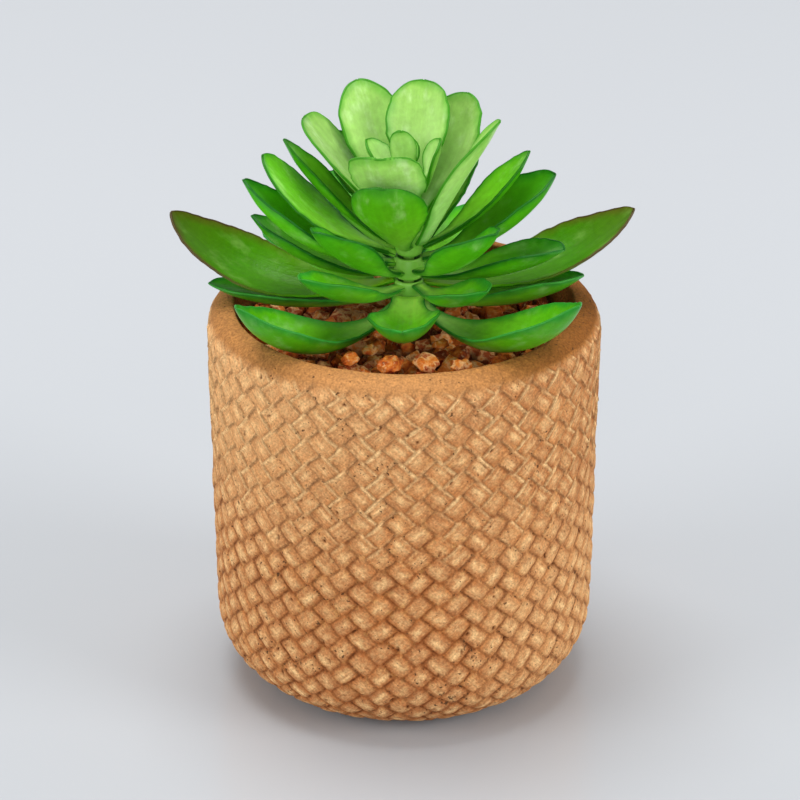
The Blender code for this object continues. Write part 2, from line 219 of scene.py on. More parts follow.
makeCamera()
makeFloor()
makeLights()
print("camera, floor and lights made")


# Pot: one cast body with a plain weave in relief outside and a smooth, sandy rim

pot = {
    "height": 82.0 * mm,
    "topRadius": 39.97 * mm,
    "lowRadius": 39.1 * mm,
    "footFillet": 16.0 * mm,
    "shoulder": 5.3 * mm,
    "lip": 0.5 * mm,
    "hollowLowRadius": 32.0 * mm,
    "hollowFillet": 9.0 * mm,
    "floor": 7.0 * mm,
    "rimUneven": 0.16 * mm,   # how far the smooth rim is from perfectly round
}

weave = {
    "columns": 64,            # columns of strand crossings round the pot, 3.9 mm apart
    "columnShift": 0.8,
    "rowStep": 2.69 * mm,     # half the height from one crossing to the next above it
    "rowOrigin": 59.6 * mm,
    "columnSteps": 7,         # mesh steps from one column to the next
    "rowSteps": 5,            # mesh steps in one row step, so that a strand's edges run at 45 degrees
    "lowestRow": -127,        # in mesh steps from the origin, at the edge of the flat foot
    "highestRow": 39,         # on the shoulder, where the smooth rim starts
    "panelDepth": 0.30,       # how far a flat strand dives at its ends, in mm
    "pillowDepth": 0.62,
    "ridge": 0.28,            # the raised edge of a flat strand, in mm
    "pillowBelow": (61 * mm, 37 * mm),
    "wobble": 0.14,           # unevenness of the cast, in mm
    "crumbs": 0.12,           # and of its surface
    "drift": 0.55,            # how far strands wander from their even places, in mm
    "driftPatch": 7 * mm,     # the size of the patches that wander, swell or crumble together
    "wobblePatch": 6 * mm,
    "crumbPatch": 1.5 * mm,
    "pits": 320,
    "pitDepth": (0.35, 0.25), # in mm, for a pit and for the second half of a long one
    "seed": 11,
}

# What is painted on the strands: the share of each mark in the pale, which is dry brushing with painted
# highlights, and in the dark, which is dirt with painted shade. line: the raised edges. streak and second:
# two
# strokes along the strand. glow: its middle. face: all of it. groove: where it dives at its ends. hem:
# beside
# the raised edge. below: its lower edge.
strandMarks = {
    "flat": dict(line=1.45, streak=0.60, second=0.45, glow=0.25, face=0.22),
    "pillow": dict(line=0.20, glow=0.14, streak=0.50, second=0.30, face=0.44),
    "flatDirtAndShade": dict(groove=0.70, hem=0.20, below=0.30),
    "pillowDirtAndShade": dict(groove=0.85, below=0.70),
}

# Painted light and shade, and a tint, over the whole wall, as shares; heights are above the table
paintedLightAndTint = {
    "paler": 0.36,            # painted light, towards the top, more on the left
    "palerFrom": 32 * mm,
    "palerOver": 42 * mm,
    "sides": 0.20,
    "lowRight": 0.22,
    "lowRightBelow": 55 * mm,
    "lowRightOver": 25 * mm,
    "rim": 0.14,
    "rimFront": 0.34,
    "rimShade": 0.42,         # painted shadow of the long right leaf, on the right of the rim
    "redder": 0.5,
    "redderBelow": 45 * mm,
    "redderOver": 40 * mm,
    "strandTone": 0.35,
    "footShade": 0.75,         # painted shade, in a line where the pot meets the table
    "footShadeBelow": 3.2 * mm,
    "footShadeOver": 2.6 * mm,
}

cement = {
    "roughness": 0.88,
    "mid": "#B4682F",
    # The next colour is the painted light on the lit parts of the wall and the rim
    "paintedLight": "#DEA56C",
    "warm": "#A05522",
    "golden": "#BE7E38",
    "pale": "#F4C68A",
    "deep": "#5A2B0C",
    "red": "#9A4E1F",
    "rim": "#A86C30",
    "rimDark": "#87521F",
    "speck": "#45301E",
    "grain": 0.45,            # sand grain in mm
    "crumb": 1.2,             # crumbs and small lumps, in mm
    "fibreLong": 4,           # in mm; real ones are finer and wouldn't show
    "fibreWide": 0.6,
    "cloudsPerMm": 0.24,      # patches of tint
    "poresPerMm": 1.5,
    "porePatchesPerMm": 0.15,
    "bump": 0.22 * mm,
}


def makeCementMaterial():
    # Cast cement, tinted and with dry brushing: matt and sandy, pale on the high edges with painted
    # highlights, brown in the crevices with dirt and painted shade
    material, tree, shader = startMaterial("castTintedCement", {
        "Roughness": cement["roughness"], "Specular IOR Level": 0.15})
    place = addNode(tree, "TexCoord").outputs["Object"]
    light, dark, tone, rim, paintedLight, rising = (
        addNode(tree, "Attribute", attribute_name="cast" + name).outputs["Fac"]
        for name in ("Pale", "Deep", "Tone", "Rim", "PaintedLight", "Rising"))
    sandScale, crumbScale = 1 / (cement["grain"] * mm), 1 / (cement["crumb"] * mm)
    sand = addNode(tree, "TexNoise", {"Vector": place, "Scale": sandScale, "Detail": 3.0})
    crumb = addNode(tree, "TexNoise", {"Vector": place, "Scale": crumbScale, "Detail": 4.0})

    # Fibres of the woven strands, cast along with them. They run at 45 degrees, rising or falling as
    # the strand does.
    apart = addNode(tree, "SeparateXYZ", {0: place})
    back = addNode(tree, "Math", {0: apart.outputs["Y"], 1: -1.0}, operation="MULTIPLY")
    turn = addNode(tree, "Math", {0: apart.outputs["X"], 1: back}, operation="ARCTAN2")
    upRight = addNode(
        tree, "Math", {0: turn, 1: pot["topRadius"], 2: apart.outputs["Z"]}, operation="MULTIPLY_ADD")
    twice = addNode(tree, "Math", {0: apart.outputs["Z"], 1: -2.0, 2: upRight}, operation="MULTIPLY_ADD")
    lengthways = addNode(tree, "Mix", {0: rising, 2: twice, 3: upRight})
    sideways = addNode(tree, "Mix", {0: rising, 2: upRight, 3: twice})
    long = addNode(tree, "Math", {0: lengthways, 1: 1 / (cement["fibreLong"] * mm)}, operation="MULTIPLY")
    wide = addNode(tree, "Math", {0: sideways, 1: 1 / (cement["fibreWide"] * mm)}, operation="MULTIPLY")
    strand = addNode(tree, "CombineXYZ", {0: long, 1: wide, 2: rising})
    fibre = addNode(tree, "TexNoise", {"Vector": strand, "Scale": 1.0, "Detail": 3.0})
    woven = addNode(tree, "Mix", {0: rim, 2: fibre, 3: 0.5})

    # The tint lies unevenly: tan, brown and golden patches a few millimetres wide
    cloud = addNode(tree, "TexNoise", {"Vector": place, "Scale": cement["cloudsPerMm"] / mm, "Detail": 5.0})
    wash = addNode(tree, "MapRange", {0: cloud, 1: 0.38, 2: 0.62})
    body = addNode(tree, "Mix", {0: wash, 6: cement["mid"], 7: cement["warm"]}, data_type="RGBA")
    golden = addNode(tree, "MapRange", {0: crumb, 1: 0.52, 2: 0.70, 3: 0.0, 4: 0.7})
    gilded = addNode(tree, "Mix", {0: golden, 6: body, 7: cement["golden"]}, data_type="RGBA")
    toned = addNode(tree, "Mix", {0: tone, 6: gilded, 7: cement["red"]}, data_type="RGBA")

    # The smooth rim is a darker ochre, finely mottled
    blotched = addNode(tree, "MapRange", {0: crumb, 1: 0.36, 2: 0.66})
    ochre = addNode(tree, "Mix", {0: blotched, 6: cement["rim"], 7: cement["rimDark"]}, data_type="RGBA")
    rimmed = addNode(tree, "Mix", {0: rim, 6: toned, 7: ochre}, data_type="RGBA")
    # Painted light: paler where the light falls on the wall and on the rim
    lighter = addNode(tree, "Mix", {0: paintedLight, 6: rimmed, 7: cement["paintedLight"]}, data_type="RGBA")

    # Dry brushing with painted highlights on the high edges and the strands' middles, and dirt with painted
    # shade in the crevices and under the strands, both broken up by the crumbs
    broken = addNode(tree, "MapRange", {0: crumb, 1: 0.36, 2: 0.64, 3: 0.55, 4: 1.20})
    brushedAndLit = addNode(tree, "Math", {0: light, 1: broken}, operation="MULTIPLY", use_clamp=True)
    paler = addNode(tree, "Mix", {0: brushedAndLit, 6: lighter, 7: cement["pale"]}, data_type="RGBA")
    darkened = addNode(tree, "MapRange", {0: crumb, 1: 0.36, 2: 0.64, 3: 1.25, 4: 0.50})
    dirtAndShade = addNode(tree, "Math", {0: dark, 1: darkened}, operation="MULTIPLY", use_clamp=True)
    deeper = addNode(tree, "Mix", {0: dirtAndShade, 6: paler, 7: cement["deep"]}, data_type="RGBA")

    # Specks: pores of the cast, about half a millimetre wide, more of them low down and in crevices
    pore = addNode(tree, "TexNoise", {"Vector": place, "Scale": cement["poresPerMm"] / mm, "Detail": 1.0})
    patch = addNode(tree, "TexNoise", {
        "Vector": place, "Scale": cement["porePatchesPerMm"] / mm, "Detail": 2.0})
    patchy = addNode(tree, "MapRange", {0: patch, 1: 0.45, 2: 0.68, 3: 0.0, 4: 0.125})
    level = addNode(tree, "SeparateXYZ", {0: place}).outputs["Z"]
    lower = addNode(tree, "MapRange", {0: level, 1: 20 * mm, 2: 60 * mm, 3: 1.0, 4: 0.55})
    scattered = addNode(tree, "Math", {0: patchy, 1: lower}, operation="MULTIPLY")
    likely = addNode(tree, "Math", {0: dark, 1: 0.07, 2: scattered}, operation="MULTIPLY_ADD")
    chosen = addNode(tree, "Math", {0: pore, 1: likely}, operation="ADD")
    speck = addNode(tree, "MapRange", {0: chosen, 1: 0.74, 2: 0.80, 4: 0.85})
    grey = addNode(tree, "MapRange", {0: sand, 1: 0.25, 2: 0.75, 3: 0.66, 4: 1.30})
    fibrous = addNode(tree, "MapRange", {0: woven, 1: 0.25, 2: 0.75, 3: 0.82, 4: 1.18})
    shade = addNode(tree, "Math", {0: grey, 1: fibrous}, operation="MULTIPLY")
    grainy = addNode(tree, "VectorMath", {0: deeper, 3: shade}, operation="SCALE")
    specked = addNode(tree, "Mix", {0: speck, 6: grainy, 7: cement["speck"]}, data_type="RGBA")

    lumpy = addNode(tree, "Math", {0: crumb, 1: 2.0, 2: sand}, operation="MULTIPLY_ADD")
    ribbed = addNode(tree, "Math", {0: woven, 1: 1.5, 2: lumpy}, operation="MULTIPLY_ADD")
    pitted = addNode(tree, "Math", {0: ribbed, 1: speck}, operation="SUBTRACT")
    finishMaterial(tree, shader, specked, pitted, Strength=0.7, Distance=cement["bump"])
    return material


def wallPlace(height):
    # Radius, z and the outward slope of the wall; height is the arc length that equals z on the wall
    foot, shoulder = pot["footFillet"], pot["shoulder"]
    shoulderStart = pot["height"] - shoulder
    down = np.clip((foot - height) / foot, 0, math.pi / 2)
    up = np.clip((height - shoulderStart) / shoulder, 0, math.pi / 2)
    share = np.clip((height - foot) / (shoulderStart - foot), 0, 1)
    radius = pot["lowRadius"] + (pot["topRadius"] - pot["lowRadius"]) * share
    radius = radius - foot * (1 - np.cos(down)) - shoulder * (1 - np.cos(up))
    z = np.clip(height, foot, shoulderStart) - foot * np.sin(down) + shoulder * np.sin(up)
    return radius, z, np.cos(down) * np.cos(up), np.sin(up) - np.sin(down)


def strandsAt(across, up):
    # The crossings near a place, in mesh steps: rising strands on even columns, falling on odd ones
    columnSteps, rowSteps = weave["columnSteps"], weave["rowSteps"]
    nearColumn, nearRow = np.floor(across / columnSteps).astype(int), np.floor(up / rowSteps).astype(int)
    for columnOff in (-1, 0, 1, 2):
        for rowOff in (-1, 0, 1, 2):
            column, row = nearColumn + columnOff, nearRow + rowOff
            rising = column % 2 == 0
            rightUp = across + up - columnSteps * column - rowSteps * row
            rightDown = across - up - columnSteps * column + rowSteps * row
            along = np.where(rising, rightUp, rightDown) / (2 * columnSteps)
            side = np.where(rising, rightDown, rightUp) / (2 * rowSteps)
            inside = (np.abs(along) < 0.501) & (np.abs(side) < 0.501) & ((column + row) % 2 == 0)
            yield column, row, rising, along, side, inside


def strandRelief(across, up, height, chance):
    # Relief in mm, colour shares and lean of the highest strand at each place of the weave
    best = np.zeros(across.shape + (5,))
    best[..., 0] = -9
    for column, row, rising, along, side, inside in strandsAt(across, up):
        upper = np.where(rising, -side, side) * 2              # 1 at the strand's upper edge
        luck = chance[column % weave["columns"], row % chance.shape[1]]   # this crossing's random numbers
        end, edge = np.abs(2 * along), np.abs(2 * side)

        lip = ease((edge - 0.66) / 0.28)
        flat = weave["ridge"] * (lip - 1) - weave["panelDepth"] * end ** 5 - 0.05 * np.cos(side * 9) ** 2
        dome = (1 - 0.50 * edge ** 4.5) * (1 - 0.85 * end ** 4.5)
        pillow = -weave["pillowDepth"] * (1 - dome)
        high, low = weave["pillowBelow"]
        flatShare = ease((height - low + 9 * mm * (luck[..., 5] - 0.5)) / (high - low))
        relief = flat * flatShare + pillow * (1 - flatShare)
        relief = relief + 0.12 * (luck[..., 0] - 0.6) + 0.16 * (luck[..., 1] - 0.5) * along

        streakAt = 0.5 * (luck[..., 2] - 0.5)
        streak = np.exp(-((side - streakAt) / 0.12) ** 2) * np.exp(-(along / 0.36) ** 4) * luck[..., 3]
        beside = np.exp(-((side + 0.26 - streakAt) / 0.10) ** 2)
        second = beside * np.exp(-(along / 0.30) ** 4) * luck[..., 0]
        # Painted highlight: glow pales each strand's middle, and line is paler on the upper edge, where
        # light falls
        glow = np.exp(-(side / 0.27) ** 2 - (along / 0.30) ** 2) * (0.35 + 0.65 * luck[..., 2])
        line = lip * (1 - end ** 8) * (0.40 + 0.60 * luck[..., 4]) * (0.70 + 0.30 * upper)
        face = (1 - end ** 3) * (1 - edge ** 2)
        # Painted shade in the dives, beside the raised edges and under the lower edges, with some dirt in
        # the dives
        groove = ease((end - 0.80) / 0.18)
        below = ease((edge - 0.78) / 0.20) * (upper < 0)
        hem = ease((edge - 0.60) / 0.12) * (1 - ease((edge - 0.74) / 0.12))
        darkLuck = 0.55 + 0.45 * luck[..., 0]
        marks = {"line": line, "streak": streak, "second": second, "glow": glow, "face": face}
        darkened, darkerOnPillow = strandMarks["flatDirtAndShade"], strandMarks["pillowDirtAndShade"]
        onFlat, onPillow = (
            sum(share * marks[mark] for mark, share in strandMarks[kind].items())
            for kind in ("flat", "pillow"))
        inFlat = darkened["groove"] * groove * darkLuck + darkened["hem"] * hem + darkened["below"] * below
        inPillow = (darkerOnPillow["groove"] * groove + darkerOnPillow["below"] * below) * darkLuck
        pale = flatShare * onFlat + (1 - flatShare) * onPillow
        deep = flatShare * inFlat + (1 - flatShare) * inPillow
        found = np.stack([relief, np.clip(pale, 0, 1), np.clip(deep, 0, 1), luck[..., 1], rising], -1)
        best = np.where((inside & (relief > best[..., 0]))[..., None], found, best)
    return best


def unevenness(x, y, z, size, seed):
    # Smooth noise over the wall, one value for each place
    places = np.stack([x, y, z], -1).reshape(-1, 3) / size
    shift = Vector((seed, 2 * seed, 3 * seed))
    values = [noise.noise(Vector(place) + shift) for place in places]
    return np.array(values).reshape(x.shape)


def makePot(material):
    rng = np.random.default_rng(weave["seed"])
    columns = weave["columns"] * weave["columnSteps"]
    rows = np.arange(weave["lowestRow"], weave["highestRow"] + 1)
    chance = rng.random((weave["columns"], 64, 6))
    across, up = np.meshgrid(np.arange(columns), rows)
    height = weave["rowOrigin"] + up * (weave["rowStep"] / weave["rowSteps"])
    turn = (across / weave["columnSteps"] + weave["columnShift"]) / weave["columns"] * math.tau
    found = strandRelief(across, up, height, chance)
    relief, pale, deep, tone, rising = (found[..., part] for part in range(5))

    # Each square is split along the diagonal whose ends are nearer in height, so ridges stay whole
    beside = np.roll(relief, -1, axis=1)
    splitRising = np.abs(relief[:-1] - beside[1:]) < np.abs(beside[:-1] - relief[1:])

    # The relief fades out at the flat foot and where the smooth rim starts
    fade = ease((rows - rows[0]) / 5)[:, None] * ease((rows[-1] - rows) / 4)[:, None]
    x, y = pot["topRadius"] * np.sin(turn), -pot["topRadius"] * np.cos(turn)
    drift = weave["drift"] * mm * fade
    turn = turn + unevenness(x, y, height, weave["driftPatch"], 1.9) * drift / pot["topRadius"]
    height = height + unevenness(x, y, height, weave["driftPatch"], 4.4) * drift
    radius, z, outward, upward = wallPlace(height)
    x, y = radius * np.sin(turn), -radius * np.cos(turn)
    lumps = unevenness(x, y, z, weave["wobblePatch"], 3.1)
    crumbs = unevenness(x, y, z, weave["crumbPatch"], 7.7)
    relief = relief + weave["wobble"] * (lumps - 0.5) + weave["crumbs"] * (crumbs - 0.4)

    # Pits: small holes left by air in the cast, more of them low down
    for _ in range(weave["pits"]):
        column = rng.integers(columns)
        row = int(len(rows) * rng.random() ** 1.5)
        size = rng.choice([1, 1, 1, 2])
        # The pit is painted dark, as the shade in the hole
        deep[row, column] = 1.0
        relief[row, column] -= weave["pitDepth"][0]
        if size == 2 and row + 1 < len(rows):
            deep[row + 1, column] = max(deep[row + 1, column], 0.85)
            relief[row + 1, column] -= weave["pitDepth"][1]
    relief = np.minimum(relief, 0) * fade - 0.10 * (1 - fade)
    relief[0] = 0
    radius = radius + relief * mm * outward
    z = np.maximum(z + relief * mm * upward, 0)

    # Plain rows: the rest of the shoulder, the lip, the hollow's wall and its round bottom
    profile = []
    start = height[-1, 0]
    end = pot["height"] - pot["shoulder"] + pot["shoulder"] * math.pi / 2
    for share in np.linspace(0, 1, 11)[1:]:
        ringRadius, ringZ, _, _ = wallPlace(np.array(start + (end - start) * share))
        profile.append((float(ringRadius), float(ringZ)))
    lipCentre = pot["topRadius"] - pot["shoulder"], pot["height"] - pot["lip"]
    for angle in np.radians([112, 135, 158, 180]):
        profile.append((
            lipCentre[0] + pot["lip"] * math.cos(angle),
            lipCentre[1] + pot["lip"] * math.sin(angle)))
    outerRows = len(profile)
    fillet, mouth = pot["hollowFillet"], lipCentre[0] - pot["lip"]
    for share in (0.1, 0.25, 0.6, 1.0):
        wallZ = lipCentre[1] + (pot["floor"] + fillet - lipCentre[1]) * share
        profile.append((mouth + (pot["hollowLowRadius"] - mouth) * share, wallZ))
    for angle in np.radians([-30, -60, -90]):
        profile.append((
            pot["hollowLowRadius"] - fillet + fillet * math.cos(angle),
            pot["floor"] + fillet + fillet * math.sin(angle)))

    plain = len(profile)
    allTurn = np.vstack([turn, np.repeat(turn[-1:], plain, axis=0)])
    allRadius = np.vstack([radius] + [np.full((1, columns), ringRadius) for ringRadius, _ in profile])
    allZ = np.vstack([z] + [np.full((1, columns), ringZ) for _, ringZ in profile])
    allX, allY = allRadius * np.sin(allTurn), -allRadius * np.cos(allTurn)
    # The smooth rim isn't perfectly even either
    rough = unevenness(allX[-plain:], allY[-plain:], allZ[-plain:], 3.5 * mm, 5.3)
    allZ[len(rows):len(rows) + outerRows] += (pot["rimUneven"] * (rough - 0.6))[:outerRows]
    vertices = np.stack([allX, allY, allZ], -1).reshape(-1, 3)
    vertices = np.vstack([vertices, [(0, 0, 0)], [(0, 0, pot["floor"])]])

    blank = np.zeros((plain, columns))
    smoothBand = np.vstack([ease((rows - rows[-1] + 5) / 5)[:, None] * np.ones(columns), blank + 1])
    paleAll = np.vstack([pale * fade, blank])
    # Painted shade: a dark line where the pot meets the table
    foot = paintedLightAndTint["footShade"] * ease((paintedLightAndTint["footShadeBelow"] - allZ) / paintedLightAndTint["footShadeOver"])
    deepAll = np.maximum(np.vstack([deep, blank]), foot)
    deepAll[len(rows):] = 0
    # Painted light: paler at the top left, the sides, the low right and the rim's left and front;
    # painted shadow on the rim's right; redder low down in the middle
    sideShare, frontShare = allX / pot["topRadius"], -allY / pot["topRadius"]
    lowRight = ease((sideShare - 0.2) / 0.5) * ease((paintedLightAndTint["lowRightBelow"] - allZ) / paintedLightAndTint["lowRightOver"])
    paler = paintedLightAndTint["paler"] * ease((allZ - paintedLightAndTint["palerFrom"]) / paintedLightAndTint["palerOver"]) * (1 - 1.1 * sideShare)
    paler = paler + paintedLightAndTint["sides"] * sideShare ** 2 + paintedLightAndTint["lowRight"] * lowRight
    rimPaintedLight = paintedLightAndTint["rim"] * (1 - sideShare) + paintedLightAndTint["rimFront"] * ease((frontShare - 0.7) / 0.3)
    paintedLight = np.where(smoothBand < 0.99, paler * (1 - smoothBand), 0) + rimPaintedLight * smoothBand
    rimShade = paintedLightAndTint["rimShade"] * ease((sideShare - 0.45) / 0.4) * (smoothBand > 0.99)
    deepAll = np.maximum(deepAll, rimShade)
    lowDown = ease((paintedLightAndTint["redderBelow"] - allZ) / paintedLightAndTint["redderOver"])
    redder = paintedLightAndTint["redder"] * lowDown * (1 - 0.8 * np.abs(sideShare))
    toneAll = np.vstack([tone * paintedLightAndTint["strandTone"], blank]) + redder
    attributes = {
        "castPale": np.append(paleAll, (0, 0)), "castDeep": np.append(deepAll, (0, 0)),
        "castTone": np.append(toneAll, (0, 0)), "castRim": np.append(smoothBand, (0, 1)),
        "castPaintedLight": np.append(paintedLight, (0, 0)),
        "castRising": np.append(np.vstack([rising, blank]), (0, 0))}

    faces = []
    allRows = len(rows) + plain
    for row in range(allRows - 1):
        for column in range(columns):
            after = (column + 1) % columns
            low, lowAfter = row * columns + column, row * columns + after
            high, highAfter = low + columns, lowAfter + columns
            if row >= len(rows) - 1 or splitRising[row, column]:
                faces += [(low, lowAfter, highAfter), (low, highAfter, high)]
            else:
                faces += [(low, lowAfter, high), (lowAfter, highAfter, high)]
    middleLow, middleHigh = allRows * columns, allRows * columns + 1
    last = (allRows - 1) * columns
    for column in range(columns):
        after = (column + 1) % columns
        faces.append((after, column, middleLow))
        faces.append((last + column, last + after, middleHigh))
    addPiece("woven_pot", vertices, faces, material, ["pot"], attributes)


makePot(makeCementMaterial())
print("pot made")


# Gravel: a brown layer with angular stones and grit pressed into it, and ten larger stones on top

gravel = {
    "layerTop": 73.2 * mm,
    "layerLow": 68.3 * mm,
    "layerUneven": 0.7 * mm,
    "layerPatch": 2.2 * mm,
    "layerTone": 0.1,            # between rust (0) and cream (0.8), and its painted shade
    "layerShade": 0.85,
    "radius": 33.4 * mm,
    "spacing": 4.6 * mm,
    "wander": 0.2,               # how far a stone may be from its grid place, as a share of the spacing
    "stoneSize": (5.8, 8.6),     # length in mm
    "stoneTop": (75.6 * mm, 77.4 * mm),
    "corners": 10,
    "bevel": 0.12 * mm,
    "roughness": 0.34 * mm,
    "lump": 1.3 * mm,            # the size of the lumps and of the chips on a stone's faces
    "chip": 0.6 * mm,
    "shadeFrom": 1.2 * mm,        # below a stone's top, where the painted shade starts, and over what height it grows
    "shadeOver": 2.4 * mm,
    "stemX": 1.0 * mm,
    "stemClear": 4.4 * mm,
    "wallClear": 3.6 * mm,
    "wallStones": 44,            # in a ring along the wall
    "wallRadius": 31.6 * mm,
    "wallSize": (5.2, 7.2),
    "gritStones": 230,           # small ones, low between the rest
    "gritSize": (4.4, 6.4),
    "gritTop": (74.3 * mm, 75.5 * mm),
    "reach": 33.5 * mm,          # stones are flat where they lie against the pot's wall
    "seed": 21,
}

rock = {
    "stops": [
        (0.0, "#7E3008"), (0.2, "#B84E0E"), (0.4, "#DA6E1C"),
        (0.6, "#E88832"), (0.8, "#F4BA7C"), (1.0, "#BE5826")],
    "vein": "#F4C08A",
    "lowShade": "#6A3520",
    "mottlesPerMm": 0.62,
    "veinsPerMm": 0.9,
    "bump": 0.28 * mm,
}


def makeStoneMaterial():
    # Crushed pink and orange rock: matt broken faces, mottled from cream to rust, with painted shade low
    # down
    material, tree, shader = startMaterial("crushedPinkRock", {
        "Roughness": 0.78, "Specular IOR Level": 0.35})
    place = addNode(tree, "TexCoord").outputs["Object"]
    tone, deep = (
        addNode(tree, "Attribute", attribute_name="stone" + name).outputs["Fac"]
        for name in ("Tone", "Deep"))
    mottle = addNode(tree, "TexNoise", {"Vector": place, "Scale": rock["mottlesPerMm"] / mm, "Detail": 5.0})
    shift = addNode(tree, "MapRange", {0: mottle, 1: 0.3, 2: 0.7, 3: -0.42, 4: 0.42})
    where = addNode(tree, "Math", {0: tone, 1: shift}, operation="ADD", use_clamp=True)
    ramp = addNode(tree, "ValToRGB", {0: where}, stops=rock["stops"])
    vein = addNode(tree, "TexNoise", {
        "Vector": place, "Scale": rock["veinsPerMm"] / mm, "Detail": 3.0, "Distortion": 1.2})
    veined = addNode(tree, "MapRange", {0: vein, 1: 0.58, 2: 0.70, 3: 0.0, 4: 0.6})
    pale = addNode(tree, "Mix", {0: veined, 6: ramp, 7: rock["vein"]}, data_type="RGBA")
    # Painted shade: darker low on each stone, on the grit and on the layer between them
    darkened = addNode(tree, "Mix", {0: deep, 6: pale, 7: rock["lowShade"]}, data_type="RGBA")
    finishMaterial(tree, shader, darkened, vein, Strength=0.9, Distance=rock["bump"])
    return material


def roughen(bm, seed):
    # Softens a stone's edges, then breaks up its faces
    bmesh.ops.bevel(
        bm, geom=bm.edges, offset=gravel["bevel"], segments=1, profile=0.6, affect="EDGES",
        clamp_overlap=True)
    bmesh.ops.triangulate(bm, faces=bm.faces)
    bmesh.ops.subdivide_edges(bm, edges=bm.edges, cuts=1, use_grid_fill=True)
    bmesh.ops.triangulate(bm, faces=bm.faces)
    bm.normal_update()
    shift = Vector((seed * 1.7, seed * 0.9, seed * 2.3))
    moves = []
    for vert in bm.verts:
        lump, chip = (noise.noise(vert.co / gravel[size] + shift) for size in ("lump", "chip"))
        moves.append(vert.normal * (gravel["roughness"] * (lump + 0.5 * chip - 0.5)))
    for vert, move in zip(bm.verts, moves):
        vert.co += move


def bedStone(rng, number, x, y, sizes, tops):
    # The hull of points on a flattened ball, turned any way, a little tipped and flat against the wall
    length = rng.uniform(*sizes) * mm
    width, tall = length * rng.uniform(0.72, 0.95), length * rng.uniform(0.6, 0.85)
    bm = bmesh.new()
    for corner in range(gravel["corners"]):
        share = 1 - 2 * (corner + 0.5) / gravel["corners"]
        around = corner * goldenAngle + rng.uniform(-0.5, 0.5)
        flat = math.sqrt(1 - share * share)
        point = Vector((flat * math.cos(around), flat * math.sin(around), share)) * rng.uniform(0.72, 1.0)
        bm.verts.new((point.x * length / 2, point.y * width / 2, point.z * tall / 2))
    hull = bmesh.ops.convex_hull(bm, input=bm.verts)
    bmesh.ops.delete(bm, geom=hull["geom_interior"], context="VERTS")
    turn = Matrix.Rotation(rng.uniform(0, math.tau), 3, "Z")
    turn = turn @ Matrix.Rotation(rng.uniform(-0.5, 0.5), 3, "X")
    bmesh.ops.rotate(bm, verts=bm.verts, matrix=turn, cent=(0, 0, 0))
    top = max(vert.co.z for vert in bm.verts)
    lift = rng.uniform(*tops) - top
    bmesh.ops.translate(bm, verts=bm.verts, vec=(x, y, lift))
    roughen(bm, number)
    for vert in bm.verts:
        away = math.hypot(vert.co.x, vert.co.y)
        if away > gravel["reach"]:
            vert.co.x *= gravel["reach"] / away
            vert.co.y *= gravel["reach"] / away
    return bm


